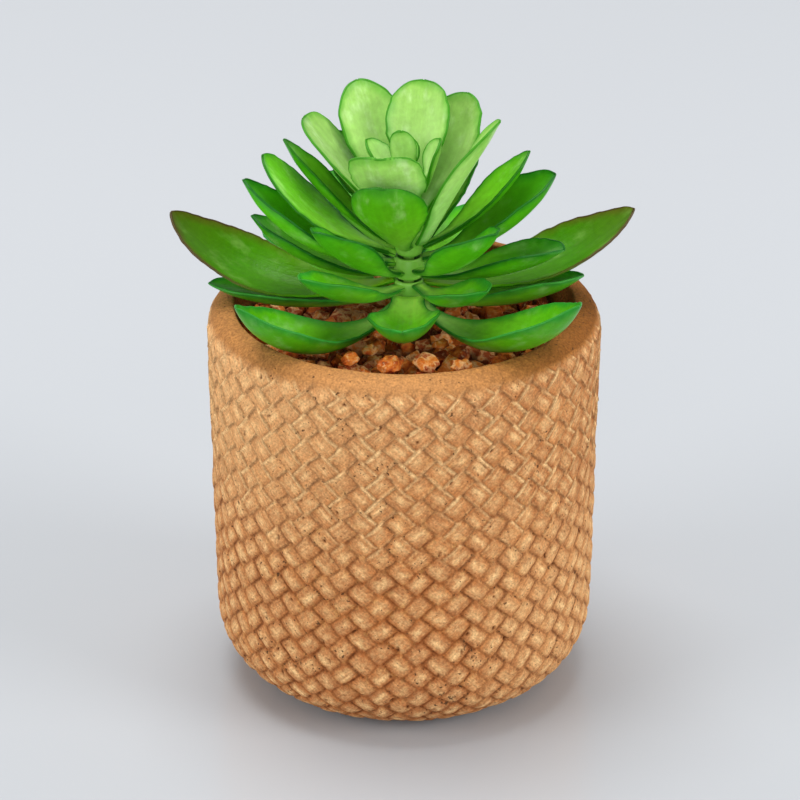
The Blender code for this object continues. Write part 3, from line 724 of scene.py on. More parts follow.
def makeGravel(material):
    rng = random.Random(gravel["seed"])
    vertices, faces, tones, deeps = [], [], [], []

    # The layer under the stones: a closed disc with an uneven top
    spokes, rings = 96, 20
    for ring in range(1, rings + 1):
        radius = gravel["radius"] * ring / rings
        for spoke in range(spokes):
            angle = math.tau * spoke / spokes
            x, y = radius * math.cos(angle), radius * math.sin(angle)
            bumpy = noise.noise(Vector((x, y, 0)) / gravel["layerPatch"])
            vertices.append((x, y, gravel["layerTop"] + bumpy * gravel["layerUneven"]))
    for spoke in range(spokes):
        x, y, _ = vertices[(rings - 1) * spokes + spoke]
        vertices.append((x, y, gravel["layerLow"]))
    vertices += [(0, 0, gravel["layerTop"]), (0, 0, gravel["layerLow"])]
    topMiddle, lowMiddle = len(vertices) - 2, len(vertices) - 1
    for spoke in range(spokes):
        after = (spoke + 1) % spokes
        faces.append((spoke, after, topMiddle))
        for ring in range(rings):
            inner, outer = ring * spokes, (ring + 1) * spokes
            faces.append((inner + spoke, outer + spoke, outer + after, inner + after))
        faces.append((rings * spokes + after, rings * spokes + spoke, lowMiddle))
    tones += [gravel["layerTone"]] * len(vertices)
    # The layer under the stones is painted dark: painted shade between the stones
    deeps += [gravel["layerShade"]] * len(vertices)

    # Stones on a loose triangular grid, a little pushed about, and a ring of them along the wall
    spacing, wander = gravel["spacing"], gravel["wander"]
    reach = int(gravel["radius"] / spacing) + 2
    spots = []
    for row in range(-reach, reach + 1):
        for column in range(-reach, reach + 1):
            x = (column + 0.5 * (row % 2)) * spacing + rng.uniform(-wander, wander) * spacing
            y = row * spacing * 0.87 + rng.uniform(-wander, wander) * spacing
            nearStem = math.hypot(x - gravel["stemX"], y) < gravel["stemClear"]
            if math.hypot(x, y) < gravel["radius"] - gravel["wallClear"] and not nearStem:
                spots.append((x, y, gravel["stoneSize"], gravel["stoneTop"]))
    for number in range(gravel["wallStones"]):
        angle = math.tau * (number + rng.uniform(-wander, wander)) / gravel["wallStones"]
        away = gravel["wallRadius"] + rng.uniform(-0.6, 0.2) * mm
        x, y = away * math.cos(angle), away * math.sin(angle)
        spots.append((x, y, gravel["wallSize"], gravel["stoneTop"]))
    # Grit goes outwards in a spiral that covers the layer evenly
    for number in range(gravel["gritStones"]):
        away = gravel["radius"] * math.sqrt((number + 0.5) / gravel["gritStones"])
        angle = number * goldenAngle
        if away > gravel["stemClear"]:
            x, y = away * math.cos(angle), away * math.sin(angle)
            spots.append((x, y, gravel["gritSize"], gravel["gritTop"]))
    for count, (x, y, sizes, tops) in enumerate(spots, 1):
        bm = bedStone(rng, count, x, y, sizes, tops)
        first, tone = len(vertices), rng.random()
        bm.verts.index_update()
        highest = max(vert.co.z for vert in bm.verts)
        for vert in bm.verts:
            vertices.append(tuple(vert.co))
            tones.append(tone)
            # Painted shade: darker further below the stone's top
            below = (highest - vert.co.z - gravel["shadeFrom"]) / gravel["shadeOver"]
            deeps.append(min(1.0, max(0.0, below)) * 0.8)
        # Grit lies low between the rest and gets more painted shade
        if sizes == gravel["gritSize"]:
            deeps[first:] = [0.35 + 0.6 * deep for deep in deeps[first:]]
        faces += [tuple(first + vert.index for vert in face.verts) for face in bm.faces]
        bm.free()
    attributes = {"stoneTone": tones, "stoneDeep": deeps}
    addPiece("gravel_layer", vertices, faces, material, ["gravel_bed"], attributes, 24)
    print("gravel made, %d stones" % len(spots))


# Where each loose stone lies between rust (0) and cream (0.8); beyond that it turns back to brown
looseStoneTones = {1: 0.35, 2: 0.72, 3: 0.5, 4: 0.6, 5: 0.45, 6: 0.55, 7: 0.95, 8: 0.9, 9: 0.5, 10: 0.62}
looseStones = {
    "merge": 0.02 * mm,       # corners closer than this are one
    "fine": 0.06 * mm,        # the finest roughness and the size of its grain
    "grain": 0.35 * mm,
    "shadeOver": 1.1 * mm,
}


def makeLooseStones(material):
    # Each starts from its node's own corners, so it stays where the node is
    for number, tone in looseStoneTones.items():
        node = "stone_%d" % number
        bm = bmesh.new()
        bm.from_mesh(nodes[node].data)
        bmesh.ops.remove_doubles(bm, verts=bm.verts, dist=looseStones["merge"])
        roughen(bm, 100 + number)
        bmesh.ops.subdivide_edges(bm, edges=bm.edges, cuts=1, use_grid_fill=True)
        bmesh.ops.triangulate(bm, faces=bm.faces)
        bm.normal_update()
        bm.verts.index_update()
        vertices = []
        for vert in bm.verts:
            fine = noise.noise(vert.co / looseStones["grain"])
            vertices.append(tuple(vert.co + vert.normal * fine * looseStones["fine"]))
        faces = [tuple(vert.index for vert in face.verts) for face in bm.faces]
        lowest = min(vertex[2] for vertex in vertices)
        attributes = {
            "stoneTone": [tone] * len(vertices),
            # Painted shade towards each stone's bottom
            "stoneDeep": [
                max(0.0, 1 - (vertex[2] - lowest) / looseStones["shadeOver"]) * 0.7 for vertex in vertices]}
        bm.free()
        addPiece(node + "_rock", vertices, faces, material, [node], attributes, 24)


stoneMaterial = makeStoneMaterial()
makeGravel(stoneMaterial)
makeLooseStones(stoneMaterial)
print("loose stones made")


# Leaves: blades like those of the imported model, but finer, with thin ragged edges

bladeShape = {
    "thickness": 1.5,         # mm in the middle
    "edgeShare": 0.3,
    "tipThinning": 0.35,
    "bluntness": 1.2,
    "pointPower": 1.7,
    "pointFall": 0.95,
    "cupPower": 1.8,
    "cupAtBase": 0.55,
    "cupFullAt": 0.4,
    "cupDrawsIn": 0.75,
    "drawInPower": 1.2,
    "leanFullAt": 0.5,
    "tipFlattening": 0.35,
    "stations": 60,
    "stationCrowding": 1.7,   # how much closer the stations lie towards the tip
    "columns": 25,
    "ragged": 0.2,            # mm
    "raggedStep": 1.1,        # mm from one nick to the next
    "rimBulge": 0.10,         # mm
    "rootReach": 0.6,         # mm that a stalk reaches in to its ring
    "stemX": 1.0,
    "shortened": 0.3,         # mm off the tip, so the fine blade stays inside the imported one's length
}

# base: height on the stem in mm. heading: degrees from +X, anticlockwise from above. rise: slope in
# degrees at the base and at the tip. cup: how far the edges stand up. lean: twist about the length.
# sweep: sideways bend. tip: 1 pointed, 0 round, below 0 blunt. stalk: width at the base.
leafStyle = dict(lean=0, sweep=0, tip=0.3, stalk=0.19, widest=0.62, baseRadius=3.5)
leaves = {
    "low_leaf_front_left": dict(
        base=81.5, heading=219, rise=(-28, 61), length=48, width=15.5, cup=0.65, lean=-8, sweep=7),
    "low_leaf_front_right": dict(
        base=81.8, heading=316, rise=(-22.5, 59), length=50.5, width=17, cup=0.6, lean=9, sweep=-6, tip=0.4),
    "low_leaf_back_right": dict(
        base=80, heading=34, rise=(-7, 20), length=33, width=14, cup=0.5, tip=0.4),
    "low_leaf_back": dict(
        base=81.5, heading=82, rise=(-9, 30), length=38, width=14.5, cup=0.5, tip=0.4),
    "low_leaf_back_left": dict(
        base=81.9, heading=138, rise=(-10, 25), length=38, width=14.5, cup=0.5, tip=0.4),
    "second_leaf_front": dict(
        base=83.3, heading=267, rise=(-33, 50), length=24.5, width=16, cup=0.6, lean=4, tip=0.1,
        stalk=0.42, widest=0.5),
    "second_leaf_right": dict(
        base=83.5, heading=355, rise=(-16, 32), length=33, width=15, cup=0.5, lean=-11, sweep=7, tip=0.2),
    "second_leaf_left": dict(
        base=84.1, heading=178, rise=(-19.5, 21), length=38, width=13.6, cup=0.45, lean=3, sweep=-4),
    "second_leaf_back_right": dict(
        base=83.5, heading=61, rise=(1, 26), length=32, width=14, cup=0.5),
    "second_leaf_back_left": dict(
        base=85, heading=114, rise=(0, 25), length=34, width=14, cup=0.5),
    "second_leaf_front_right": dict(
        base=86, heading=307, rise=(-11, 45), length=23, width=12, cup=0.55, lean=4, sweep=3, tip=-0.1,
        stalk=0.25, widest=0.55),
    "second_leaf_front_left": dict(
        base=85.5, heading=226, rise=(-3, 45), length=28.5, width=13, cup=0.55, lean=2, sweep=-7, tip=0.1,
        stalk=0.25, widest=0.55),
    "long_leaf_left": dict(
        base=86.5, heading=175, rise=(-24, 52), length=50.5, width=16.5, cup=0.4, lean=-14, sweep=-11,
        tip=0.45),
    "long_leaf_right": dict(
        base=86, heading=7, rise=(-12, 48), length=46.5, width=15.5, cup=0.4, lean=13, tip=0.5),
    "middle_leaf_left_low": dict(
        base=88.3, heading=178, rise=(-8, 53), length=32, width=12, cup=0.5, lean=4, sweep=-1),
    "middle_leaf_right_low": dict(
        base=88, heading=347, rise=(-1, 34), length=30, width=13.5, cup=0.55, lean=-4, sweep=-2, tip=-0.2),
    "middle_leaf_back": dict(
        base=87.7, heading=83, rise=(10, 35), length=28, width=13, cup=0.5),
    "middle_leaf_back_left": dict(
        base=89, heading=123, rise=(10, 35), length=29, width=13, cup=0.5),
    "middle_leaf_front_left": dict(
        base=89, heading=229, rise=(17, 52), length=29.5, width=13, cup=0.6, sweep=-5, tip=0.2),
    "middle_leaf_front_right": dict(
        base=89.5, heading=308, rise=(14, 55), length=28, width=15, cup=0.55, lean=3, sweep=5, tip=0.2),
    "middle_leaf_left": dict(
        base=90.5, heading=187, rise=(3, 63), length=37, width=13.5, cup=0.55, lean=-3, sweep=-1),
    "middle_leaf_right": dict(
        base=91.5, heading=356, rise=(11, 60), length=32.5, width=15.5, cup=0.6, lean=7, sweep=6, tip=0.0),
    "upper_leaf_left": dict(
        base=92.7, heading=185, rise=(19, 60), length=34, width=14, cup=0.15, lean=-7, sweep=-8, tip=0.05),
    "upper_leaf_right": dict(
        base=94, heading=6, rise=(24, 63), length=29, width=9.5, cup=0.45, lean=7, sweep=-3, tip=0.4),
    "upper_leaf_far_left": dict(
        base=94.5, heading=168, rise=(26, 60), length=30.5, width=10, cup=0.45, lean=7, sweep=4),
    "upper_leaf_back": dict(
        base=93, heading=94, rise=(22, 45), length=22, width=12, cup=0.5, tip=0.2),
    "upper_leaf_back_right": dict(
        base=93.3, heading=43, rise=(46, 58), length=22.5, width=10.5, cup=0.5, lean=6, sweep=-8, tip=0.2,
        stalk=0.22, baseRadius=3.9),
    "upper_leaf_back_left": dict(
        base=96.3, heading=141, rise=(30, 59), length=24.5, width=13, cup=0.5, lean=-5, sweep=-7, tip=0.2),
    "upper_leaf_steep_right": dict(
        base=96.3, heading=333, rise=(62, 58.5), length=31.5, width=16.4, cup=0.25, lean=5, sweep=6,
        tip=0.2, stalk=0.4, widest=0.6, baseRadius=3.8),
    "upper_leaf_front": dict(
        base=95, heading=252, rise=(29, 76), length=23.5, width=15.5, cup=0.35, lean=5, sweep=4, tip=-0.3,
        stalk=0.22, widest=0.66),
    "top_leaf_left": dict(
        base=98.5, heading=173, rise=(43, 55), length=28.5, width=16, cup=0.2, lean=6, sweep=-10,
        tip=-0.7, stalk=0.3, widest=0.7, baseRadius=2.8),
    "top_leaf_right": dict(
        base=99.5, heading=47, rise=(46, 63), length=27, width=14, cup=0.4, lean=6, sweep=8, tip=0,
        baseRadius=2.8),
    "top_leaf_front": dict(
        base=101, heading=248, rise=(40, 64), length=23, width=15, cup=0.3, lean=8, sweep=6, tip=-1.3,
        stalk=0.3, widest=0.6, baseRadius=2.8),
    "top_leaf_back_left": dict(
        base=101, heading=126, rise=(44, 63), length=28, width=14, cup=0.4, lean=-9, sweep=-9, tip=0,
        baseRadius=2.8),
    "top_leaf_back": dict(
        base=103.3, heading=78, rise=(59, 59), length=24, width=13.5, cup=0.45, sweep=2, tip=-0.2,
        baseRadius=2.8),
    "crown_leaf_back": dict(
        base=107, heading=95, rise=(65, 77), length=9, width=5, cup=0.45, tip=0.1, baseRadius=3),
    "crown_leaf_left": dict(
        base=105.5, heading=163, rise=(57, 63), length=12, width=7.5, cup=0.45, lean=-6, sweep=-1, tip=0.1,
        baseRadius=3),
    "crown_leaf_front": dict(
        base=108, heading=257, rise=(66, 79), length=14, width=5.5, cup=0.45, lean=3, tip=-0.2,
        baseRadius=2.8),
    "crown_leaf_right": dict(
        base=106, heading=15, rise=(67, 76), length=11, width=6.5, cup=0.45, lean=-1, sweep=1, tip=0.1,
        baseRadius=3),
}

# Finish of each tier. inner and outer: colours of the upper and lower face, from the stalk to the tip.
# margin: the tint along the edges and how wide it is in mm. rim: the thin edge itself, and how wide
# that is in mm. Then the colour of the pale patches of painted sheen. marginFrom: the share of the length
# where margin and rim begin; without it they run all along.
leafFinish = {
    "low": dict(
        inner=("#A2D067", "#70BC25", "#55A911", "#4C9B0D"),
        outer=("#82C32E", "#5DAD14", "#50A40F", "#3D9314"),
        margin="#128226", marginWidth=2.0, rim="#338C30", rimWidth=0.12, paintedSheen="#8CC070"),
    "second": dict(
        inner=("#BBF35C", "#87D92C", "#64BD16", "#45A618"),
        outer=("#A4D64D", "#7DC626", "#60B616", "#44A31D"),
        margin="#1E8A30", marginWidth=2.0, rim="#388E2C", rimWidth=0.12, paintedSheen="#94C874"),
    "long": dict(
        inner=("#83B91E", "#579B06", "#478E02", "#4E7406"),
        outer=("#6EC01D", "#62BB16", "#59B213", "#499F0E"),
        margin="#5E5C16", marginWidth=2.2, rim="#50421E", rimWidth=0.26, paintedSheen="#86B450", marginFrom=0.35),
    "middle": dict(
        inner=("#ACE453", "#79C72B", "#58B016", "#409913"),
        outer=("#92D444", "#68C11E", "#53B111", "#40A011"),
        margin="#24821A", marginWidth=2.0, rim="#1F6A1A", rimWidth=0.2, paintedSheen="#9CCC78"),
    "upper": dict(
        inner=("#BAE861", "#91D439", "#6FBC21", "#59A818"),
        outer=("#AEE458", "#83CC2C", "#60B616", "#4AA40D"),
        margin="#2F8A14", marginWidth=1.8, rim="#2C7614", rimWidth=0.22, paintedSheen="#ACD880"),
    "top": dict(
        inner=("#C0E296", "#B1DB7C", "#A5D36D", "#90C256"),
        outer=("#BEEB8C", "#B2E17C", "#A8D76E", "#8CC750"),
        margin="#62AC34", marginWidth=2.2, rim="#44901E", rimWidth=0.22, paintedSheen="#D6F2B4"),
    "crown": dict(
        inner=("#CAEA9C", "#BDE48D", "#B1DC7F", "#96CC60"),
        outer=("#C8EA97", "#BBE285", "#AFDA7A", "#92C859"),
        margin="#64AC38", marginWidth=1.2, rim="#44901E", rimWidth=0.20, paintedSheen="#DCF4C0"),
}

# Leaves whose colour is made lighter or darker than the rest of their tier, as a share of its colour
leafBrightness = {
    "second_leaf_front": 1.2,
    "middle_leaf_left": 1.3,
    "middle_leaf_front_left": 1.06,
    "middle_leaf_front_right": 1.2,
    "upper_leaf_left": 1.35,
    "upper_leaf_right": 1.15,
    "upper_leaf_front": 0.92,
    "upper_leaf_steep_right": 1.05,
    "top_leaf_left": 0.97,
    "top_leaf_right": 0.9,
    "top_leaf_back_left": 1.04,
    "top_leaf_front": 1.06,
}

# The steep leaf was sprayed with the pale ones of the tier above
leafSprayedAs = {"upper_leaf_steep_right": "top"}


# Patterns of the spray and of the painted sheen, in marks per millimetre along and across the leaf
spray = {
    "colourPlaces": (0.08, 0.34, 0.66, 1.0),
    "streaksAlong": 0.08,
    "streaksAcross": 0.95,
    "paintedSheenAlong": 0.13,
    "paintedSheenAcross": 0.25,
    "cloudsPerMm": 0.16,      # what the margin's width follows
    "fleckPerMm": 0.7,
    "nextLeaf": 40.0,         # keeps the patterns of two leaves apart
    "roughness": 0.32,
    "specular": 0.16,
    "bump": 0.14 * mm,
}


def makeLeafMaterial(tier, finish):
    # Moulded soft plastic, sprayed in greens: satin, with faint lengthwise streaks, pale patches of painted
    # sheen and a darker edge
    material, tree, shader = startMaterial("sprayedSoftPlastic_" + tier, {
        "Roughness": spray["roughness"], "IOR": 1.5, "Specular IOR Level": spray["specular"]})
    along, lengthMm, acrossMm, edgeMm, side, tone = (
        addNode(tree, "Attribute", attribute_name="leaf" + name).outputs["Fac"]
        for name in ("Along", "LengthMm", "AcrossMm", "EdgeMm", "Inside", "Tone"))
    inner, outer = (
        addNode(tree, "ValToRGB", {0: along}, stops=list(zip(spray["colourPlaces"], finish[face])))
        for face in ("inner", "outer"))
    body = addNode(tree, "Mix", {0: side, 6: outer, 7: inner}, data_type="RGBA")

    # Streaks run along the leaf, about 1 mm apart and 12 mm long; a painted sheen lies on it in pale
    # patches about 4 mm wide and 8 mm long
    leafNumber = addNode(tree, "Math", {0: tone, 1: spray["nextLeaf"]}, operation="MULTIPLY")
    noises = []
    for mark in ("streaks", "paintedSheen"):
        long = addNode(tree, "Math", {0: lengthMm, 1: spray[mark + "Along"]}, operation="MULTIPLY")
        wide = addNode(tree, "Math", {0: acrossMm, 1: spray[mark + "Across"]}, operation="MULTIPLY")
        where = addNode(tree, "CombineXYZ", {0: wide, 1: long, 2: leafNumber})
        noises.append(addNode(
            tree, "TexNoise", {"Vector": where, "Scale": 1.0, "Detail": 4.0, "Roughness": 0.6}))
    streak, sheenNoise = noises
    sheenShare = addNode(
        tree, "MapRange", {0: sheenNoise, 1: 0.50, 2: 0.74, 3: 0.0, 4: 0.5}, interpolation_type="SMOOTHSTEP")
    withPaintedSheen = addNode(tree, "Mix", {0: sheenShare, 6: body, 7: finish["paintedSheen"]}, data_type="RGBA")
    place = addNode(tree, "TexCoord").outputs["Object"]
    cloud = addNode(tree, "TexNoise", {"Vector": place, "Scale": spray["cloudsPerMm"] / mm, "Detail": 3.0})

    # The sprayed margin is wider here and narrower there, and on the long leaves it fades in
    width = addNode(tree, "MapRange", {
        0: cloud, 1: 0.3, 2: 0.7, 3: 0.35 * finish["marginWidth"], 4: 1.5 * finish["marginWidth"]})
    inward = addNode(tree, "Math", {0: edgeMm, 1: width}, operation="DIVIDE")
    marginShare = addNode(
        tree, "MapRange", {0: inward, 1: 0.0, 2: 1.0, 3: 0.75, 4: 0.0}, interpolation_type="SMOOTHSTEP")
    start = finish.get("marginFrom", -1.0)
    begun = addNode(tree, "MapRange", {0: along, 1: start, 2: start + 0.4})
    edged = addNode(tree, "Math", {0: marginShare, 1: begun}, operation="MULTIPLY")
    margined = addNode(tree, "Mix", {0: edged, 6: withPaintedSheen, 7: finish["margin"]}, data_type="RGBA")

    brightness = addNode(tree, "MapRange", {0: streak, 1: 0.3, 2: 0.7, 3: 0.92, 4: 1.07})
    streaked = addNode(tree, "VectorMath", {0: margined, 3: brightness}, operation="SCALE")

    # Spray mist: paler and darker flecks about a millimetre wide
    mist = addNode(tree, "TexNoise", {
        "Vector": place, "Scale": spray["fleckPerMm"] / mm, "Detail": 4.0, "Roughness": 0.6})
    flecked = addNode(tree, "MapRange", {0: mist, 1: 0.3, 2: 0.7, 3: 0.91, 4: 1.09})
    misted = addNode(tree, "VectorMath", {0: streaked, 3: flecked}, operation="SCALE")
    toned = addNode(tree, "VectorMath", {0: misted, 3: tone}, operation="SCALE")

    # The thin edge, ragged where the mould's halves met
    rimWidth = addNode(tree, "MapRange", {
        0: cloud, 1: 0.35, 2: 0.65, 3: 0.35 * finish["rimWidth"], 4: 1.65 * finish["rimWidth"]})
    atRim = addNode(tree, "Math", {0: edgeMm, 1: rimWidth}, operation="DIVIDE")
    rimShare = addNode(tree, "MapRange", {0: atRim, 1: 0.6, 2: 1.3, 3: 1.0, 4: 0.0})
    rimHere = addNode(tree, "Math", {0: rimShare, 1: begun}, operation="MULTIPLY")
    rimmed = addNode(tree, "Mix", {0: rimHere, 6: toned, 7: finish["rim"]}, data_type="RGBA")
    uneven = addNode(tree, "Math", {0: streak, 1: mist}, operation="ADD")
    finishMaterial(tree, shader, rimmed, uneven, Strength=0.5, Distance=spray["bump"])
    return material


def leafHalfWidth(along, leaf):
    # Narrow at the stalk, widest at leaf["widest"], then a round, blunt or pointed end
    body = leaf["stalk"] + (1 - leaf["stalk"]) * ease(along / leaf["widest"])
    past = np.clip((along - leaf["widest"]) / (1 - leaf["widest"]), 0, 1)
    power = 2.0 + bladeShape["bluntness"] * max(0.0, -leaf["tip"])
    roundEnd = (1 - past ** power) ** (1 / power)
    sharpEnd = (1 - past ** bladeShape["pointPower"]) ** bladeShape["pointFall"]
    point = max(0.0, leaf["tip"])
    return 0.5 * leaf["width"] * body * ((1 - point) * roundEnd + point * sharpEnd)


def leafDirections(along, leaf):
    # Forward along the leaf, sideways across it and up from its face, at each place
    heading = np.radians(leaf["heading"] + leaf["sweep"] * along)
    slope = np.radians(leaf["rise"][0] + (leaf["rise"][1] - leaf["rise"][0]) * along)
    level = np.cos(slope)
    forward = np.stack([level * np.cos(heading), level * np.sin(heading), np.sin(slope)], -1)
    side = np.stack([-np.sin(heading), np.cos(heading), np.zeros_like(heading)], -1)
    up = np.cross(forward, side)
    lean = (np.radians(leaf["lean"]) * ease(along / bladeShape["leanFullAt"]))[:, None]
    tilted = side * np.cos(lean) + up * np.sin(lean)
    return forward, tilted, np.cross(forward, tilted)


def leafSpine(along, leaf):
    # The middle line, walked in short steps and read at the stations
    steps = 240
    shares = np.linspace(0, 1, steps + 1)
    forward = leafDirections(shares, leaf)[0]
    strides = (forward[:-1] + forward[1:]) * 0.5 * leaf["length"] / steps
    heading = math.radians(leaf["heading"])
    out = leaf["baseRadius"]
    start = np.array([
        bladeShape["stemX"] + out * math.cos(heading), out * math.sin(heading), leaf["base"]])
    points = np.vstack([start, start + np.cumsum(strides, axis=0)])
    return np.stack([np.interp(along, shares, points[:, axis]) for axis in range(3)], -1)


def raggedEdge(rng, along, leaf):
    # Nicks of up to 0.2 mm, one about every millimetre, less deep at the stalk
    count = int(leaf["length"] / bladeShape["raggedStep"]) + 2
    values = rng.uniform(-1, 1, count)
    return bladeShape["ragged"] * np.interp(along, np.linspace(0, 1, count), values) * ease(along / 0.3)


def makeLeaf(name, settings, material, number):
    # An upper and a lower face, joined by a narrow rim all round
    leaf = dict(leafStyle)
    leaf.update(settings)
    leaf["length"] -= bladeShape["shortened"]
    rng = np.random.default_rng(500 + number)
    stations, columns = bladeShape["stations"], bladeShape["columns"]
    along = 1 - (1 - np.linspace(0, 1, stations)) ** bladeShape["stationCrowding"]
    along[-1] = 1 - 1e-4
    across = np.sin(np.linspace(-1, 1, columns) * math.pi / 2)
    forward, tilted, above = leafDirections(along, leaf)
    half = leafHalfWidth(along, leaf)
    atBase, growth = bladeShape["cupAtBase"], ease(along / bladeShape["cupFullAt"])
    cup = leaf["cup"] * (atBase + (1 - atBase) * growth)
    drawnIn = cup[:, None] * bladeShape["cupDrawsIn"]
    spread = np.sqrt(1 - drawnIn ** 2 * np.abs(across) ** bladeShape["drawInPower"])
    sideways = across * spread * half[:, None]
    leftRag, rightRag = raggedEdge(rng, along, leaf), raggedEdge(rng, along, leaf)
    rag = np.where(across < 0, leftRag[:, None], rightRag[:, None]) * np.abs(across) ** 8
    sideways = sideways + rag * np.minimum(half[:, None], 1.0)
    flattened = cup * (1 - bladeShape["tipFlattening"] * ease((along - 0.7) / 0.3))
    lift = (flattened * half)[:, None] * np.abs(across) ** bladeShape["cupPower"]
    surface = (
        leafSpine(along, leaf)[:, None, :] + tilted[:, None, :] * sideways[..., None]
        + above[:, None, :] * lift[..., None])
    surface[0] -= forward[0] * bladeShape["rootReach"]

    # Thickness: stout in the middle, thin at the edges and the tip
    tipFall = 1 - ease((along - 0.82) / 0.18)
    middle = (1 - across ** 2) * (1 - bladeShape["tipThinning"] * along[:, None]) * tipFall[:, None]
    thickness = bladeShape["thickness"] * (bladeShape["edgeShare"] + (1 - bladeShape["edgeShare"]) * middle)
    alongStep, acrossStep = np.gradient(surface, axis=0), np.gradient(surface, axis=1)
    normal = np.cross(alongStep, acrossStep)
    normal /= np.maximum(np.linalg.norm(normal, axis=-1, keepdims=True), 1e-12)
    inner = surface + normal * thickness[..., None] / 2
    outer = surface - normal * thickness[..., None] / 2

    # A rim of points round the blade, just outside its edge
    grid = np.arange(stations * columns).reshape(stations, columns)
    outline = np.concatenate([grid[:-1, 0], grid[-1, :-1], grid[:0:-1, -1], grid[0, :0:-1]])
    flatSurface = surface.reshape(-1, 3)
    neighbour = np.concatenate([grid[:-1, 1], grid[-2, :-1], grid[:0:-1, -2], grid[1, :0:-1]])
    outwards = flatSurface[outline] - flatSurface[neighbour]
    outwards /= np.maximum(np.linalg.norm(outwards, axis=-1, keepdims=True), 1e-12)
    rim = flatSurface[outline] + outwards * bladeShape["rimBulge"]
    edgePoints = flatSurface[outline[:-columns + 1]]
    apart = np.linalg.norm(flatSurface[:, None, :] - edgePoints[None, :, :], axis=-1).min(axis=1)

    size, around = stations * columns, len(outline)
    vertices = np.vstack([inner.reshape(-1, 3), outer.reshape(-1, 3), rim]) * mm
    faces = []
    for row in range(stations - 1):
        for column in range(columns - 1):
            first, second = grid[row, column], grid[row, column + 1]
            third, fourth = grid[row + 1, column + 1], grid[row + 1, column]
            faces.append((first, fourth, third, second))
            faces.append((size + first, size + second, size + third, size + fourth))
    for index in range(around):
        after = (index + 1) % around
        here, there = 2 * size + index, 2 * size + after
        faces.append((outline[index], here, there, outline[after]))
        faces.append((here, size + outline[index], size + outline[after], there))

    alongAll = np.repeat(along, columns)
    acrossMm = (across * half[:, None]).ravel()
    tone = leafBrightness.get(name, 1.0) * rng.uniform(0.94, 1.06)
    attributes = {
        "leafAlong": np.concatenate([alongAll, alongAll, alongAll[outline]]),
        "leafLengthMm": np.concatenate([alongAll, alongAll, alongAll[outline]]) * leaf["length"],
        "leafAcrossMm": np.concatenate([acrossMm, acrossMm, acrossMm[outline]]),
        "leafEdgeMm": np.concatenate([apart, apart, np.zeros(around)]),
        "leafInside": np.concatenate([np.ones(size), np.zeros(size), np.full(around, 0.5)]),
        "leafTone": np.full(2 * size + around, tone)}
    addPiece(name + "_blade", vertices.tolist(), [tuple(int(i) for i in face) for face in faces], material,
             [name], attributes)


leafMaterials = {tier: makeLeafMaterial(tier, finish) for tier, finish in leafFinish.items()}
for number, (name, settings) in enumerate(leaves.items()):
    makeLeaf(name, settings, leafMaterials[leafSprayedAs.get(name, name.split("_")[0])], number)
print("leaves made, %d" % len(leaves))


# Stem and rings: each ring is a small turned collar with a rounded foot and a hollow top

collars = {
    "sides": 56,
    "hollow": 0.6 * mm,       # depth of the recess round the stem
    "wall": 0.75 * mm,
    "foot": 1.1 * mm,
    "lip": 0.4 * mm,
    "stemX": 1.0 * mm,
    "bore": 1.35 * mm,
    "bud": 0.5,               # how far the topmost one's dome falls, as a share of its radius
    "colour": "#7CC43A",
    "pale": "#9ED45E",
    "deep": "#4C8A30",
    "cloudsPerMm": 0.45,
}


def makeCollarMaterial():
    # The same soft plastic, unsprayed: a paler, waxy green, darker in the recesses with painted shade
    material, tree, shader = startMaterial("plainSoftPlastic", {"Roughness": 0.45, "IOR": 1.5})
    place = addNode(tree, "TexCoord").outputs["Object"]
    deep = addNode(tree, "Attribute", attribute_name="collarDeep").outputs["Fac"]
    cloud = addNode(tree, "TexNoise", {"Vector": place, "Scale": collars["cloudsPerMm"] / mm, "Detail": 4.0})
    body = addNode(tree, "Mix", {0: cloud, 6: collars["colour"], 7: collars["pale"]}, data_type="RGBA")
    shaded = addNode(tree, "Mix", {0: deep, 6: body, 7: collars["deep"]}, data_type="RGBA")
    finishMaterial(tree, shader, shaded, cloud, Strength=0.3, Distance=0.1 * mm)
    return material


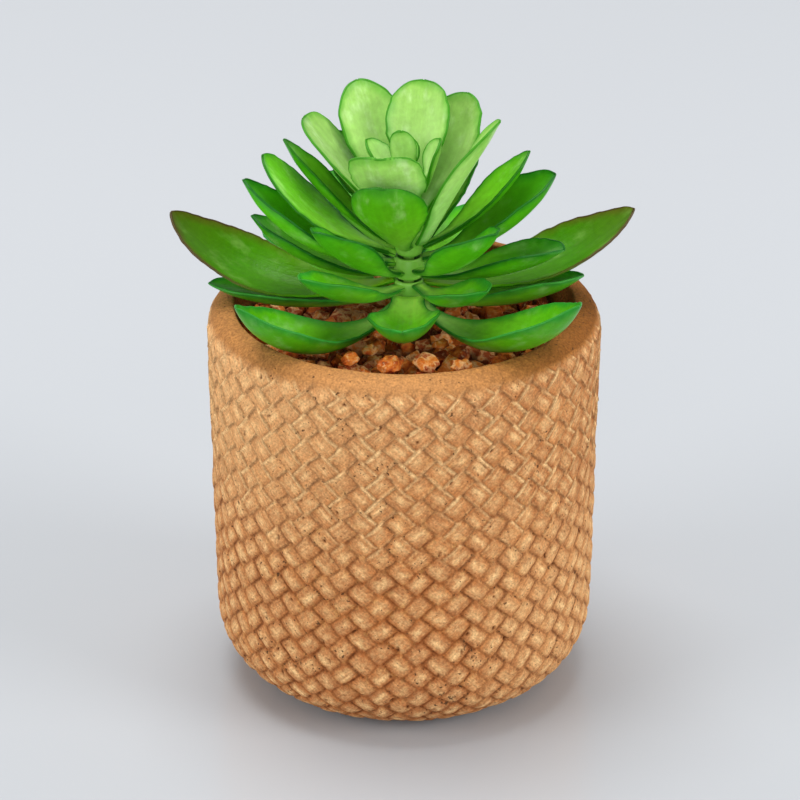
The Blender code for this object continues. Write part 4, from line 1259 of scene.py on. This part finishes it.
def makeCollar(node, material):
    # The outline from the bore's foot, round the outside and back down the bore, turned about the stem
    lowest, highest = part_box(node)
    low, high = lowest.z, highest.z
    radius = (highest.x - lowest.x) / 2
    foot, bore, lip, inside = collars["foot"], collars["bore"], collars["lip"], radius - collars["wall"]
    # Each point of the outline: radius, height and how much painted shade it gets
    profile = [(bore, low, 0.8)]
    for angle in np.radians(np.linspace(-90, 0, 8)):
        profile.append((radius - foot + foot * math.cos(angle), low + foot + foot * math.sin(angle), 0.0))
    if node == "crown_ring":
        # The topmost one is closed by a small dome, the bud
        for share in (0.9, 0.7, 0.45, 0.2, 0.03):
            profile.append((radius * share, high - radius * collars["bud"] * share ** 2, 0.0))
        profile.append((radius * 0.03, low, 0.8))
    else:
        profile += [(radius, high - lip, 0.0), (radius - 0.3 * lip, high - 0.3 * lip, 0.0)]
        profile += [(radius - lip, high, 0.0), (inside, high - 0.25 * lip, 0.3)]
        profile += [(inside - 0.25 * lip, high - collars["hollow"] * 0.5, 1.0)]
        profile += [(bore, high - collars["hollow"], 1.0)]
    sides = collars["sides"]
    vertices, faces, deeps = [], [], []
    for r, z, shade in profile:
        for step in range(sides):
            angle = math.tau * step / sides
            vertices.append((collars["stemX"] + r * math.cos(angle), r * math.sin(angle), z))
            deeps.append(shade)
    count = len(profile)
    for ring in range(count):
        nextRing = (ring + 1) % count
        for step in range(sides):
            after = (step + 1) % sides
            faces.append((
                ring * sides + step, ring * sides + after,
                nextRing * sides + after, nextRing * sides + step))
    addPiece(node + "_collar", vertices, faces, material, [node], {"collarDeep": deeps})


collarMaterial = makeCollarMaterial()
for node in ("low_ring", "second_ring", "middle_ring", "upper_ring", "top_ring", "crown_ring"):
    makeCollar(node, collarMaterial)
print("collars made")


filling = {"colour": "#C9C3B6", "cell": "#B5AD9E", "cellsPerMm": 1.2, "roughness": 0.95}


def makeFillingMaterial():
    # Foam plug, cut from a block: matt, with a fine open grain
    material, tree, shader = startMaterial("cutFoam", {"Roughness": filling["roughness"]})
    place = addNode(tree, "TexCoord").outputs["Object"]
    cells = addNode(tree, "TexNoise", {
        "Vector": place, "Scale": filling["cellsPerMm"] / mm, "Detail": 2.0})
    body = addNode(tree, "Mix", {0: cells, 6: filling["colour"], 7: filling["cell"]}, data_type="RGBA")
    finishMaterial(tree, shader, body)
    return material


# The stem and the plug keep their own shapes and get a finish
for node, material in (("stem", collarMaterial), ("filling", makeFillingMaterial())):
    for place in nodes[node].material_slots:
        place.material = material
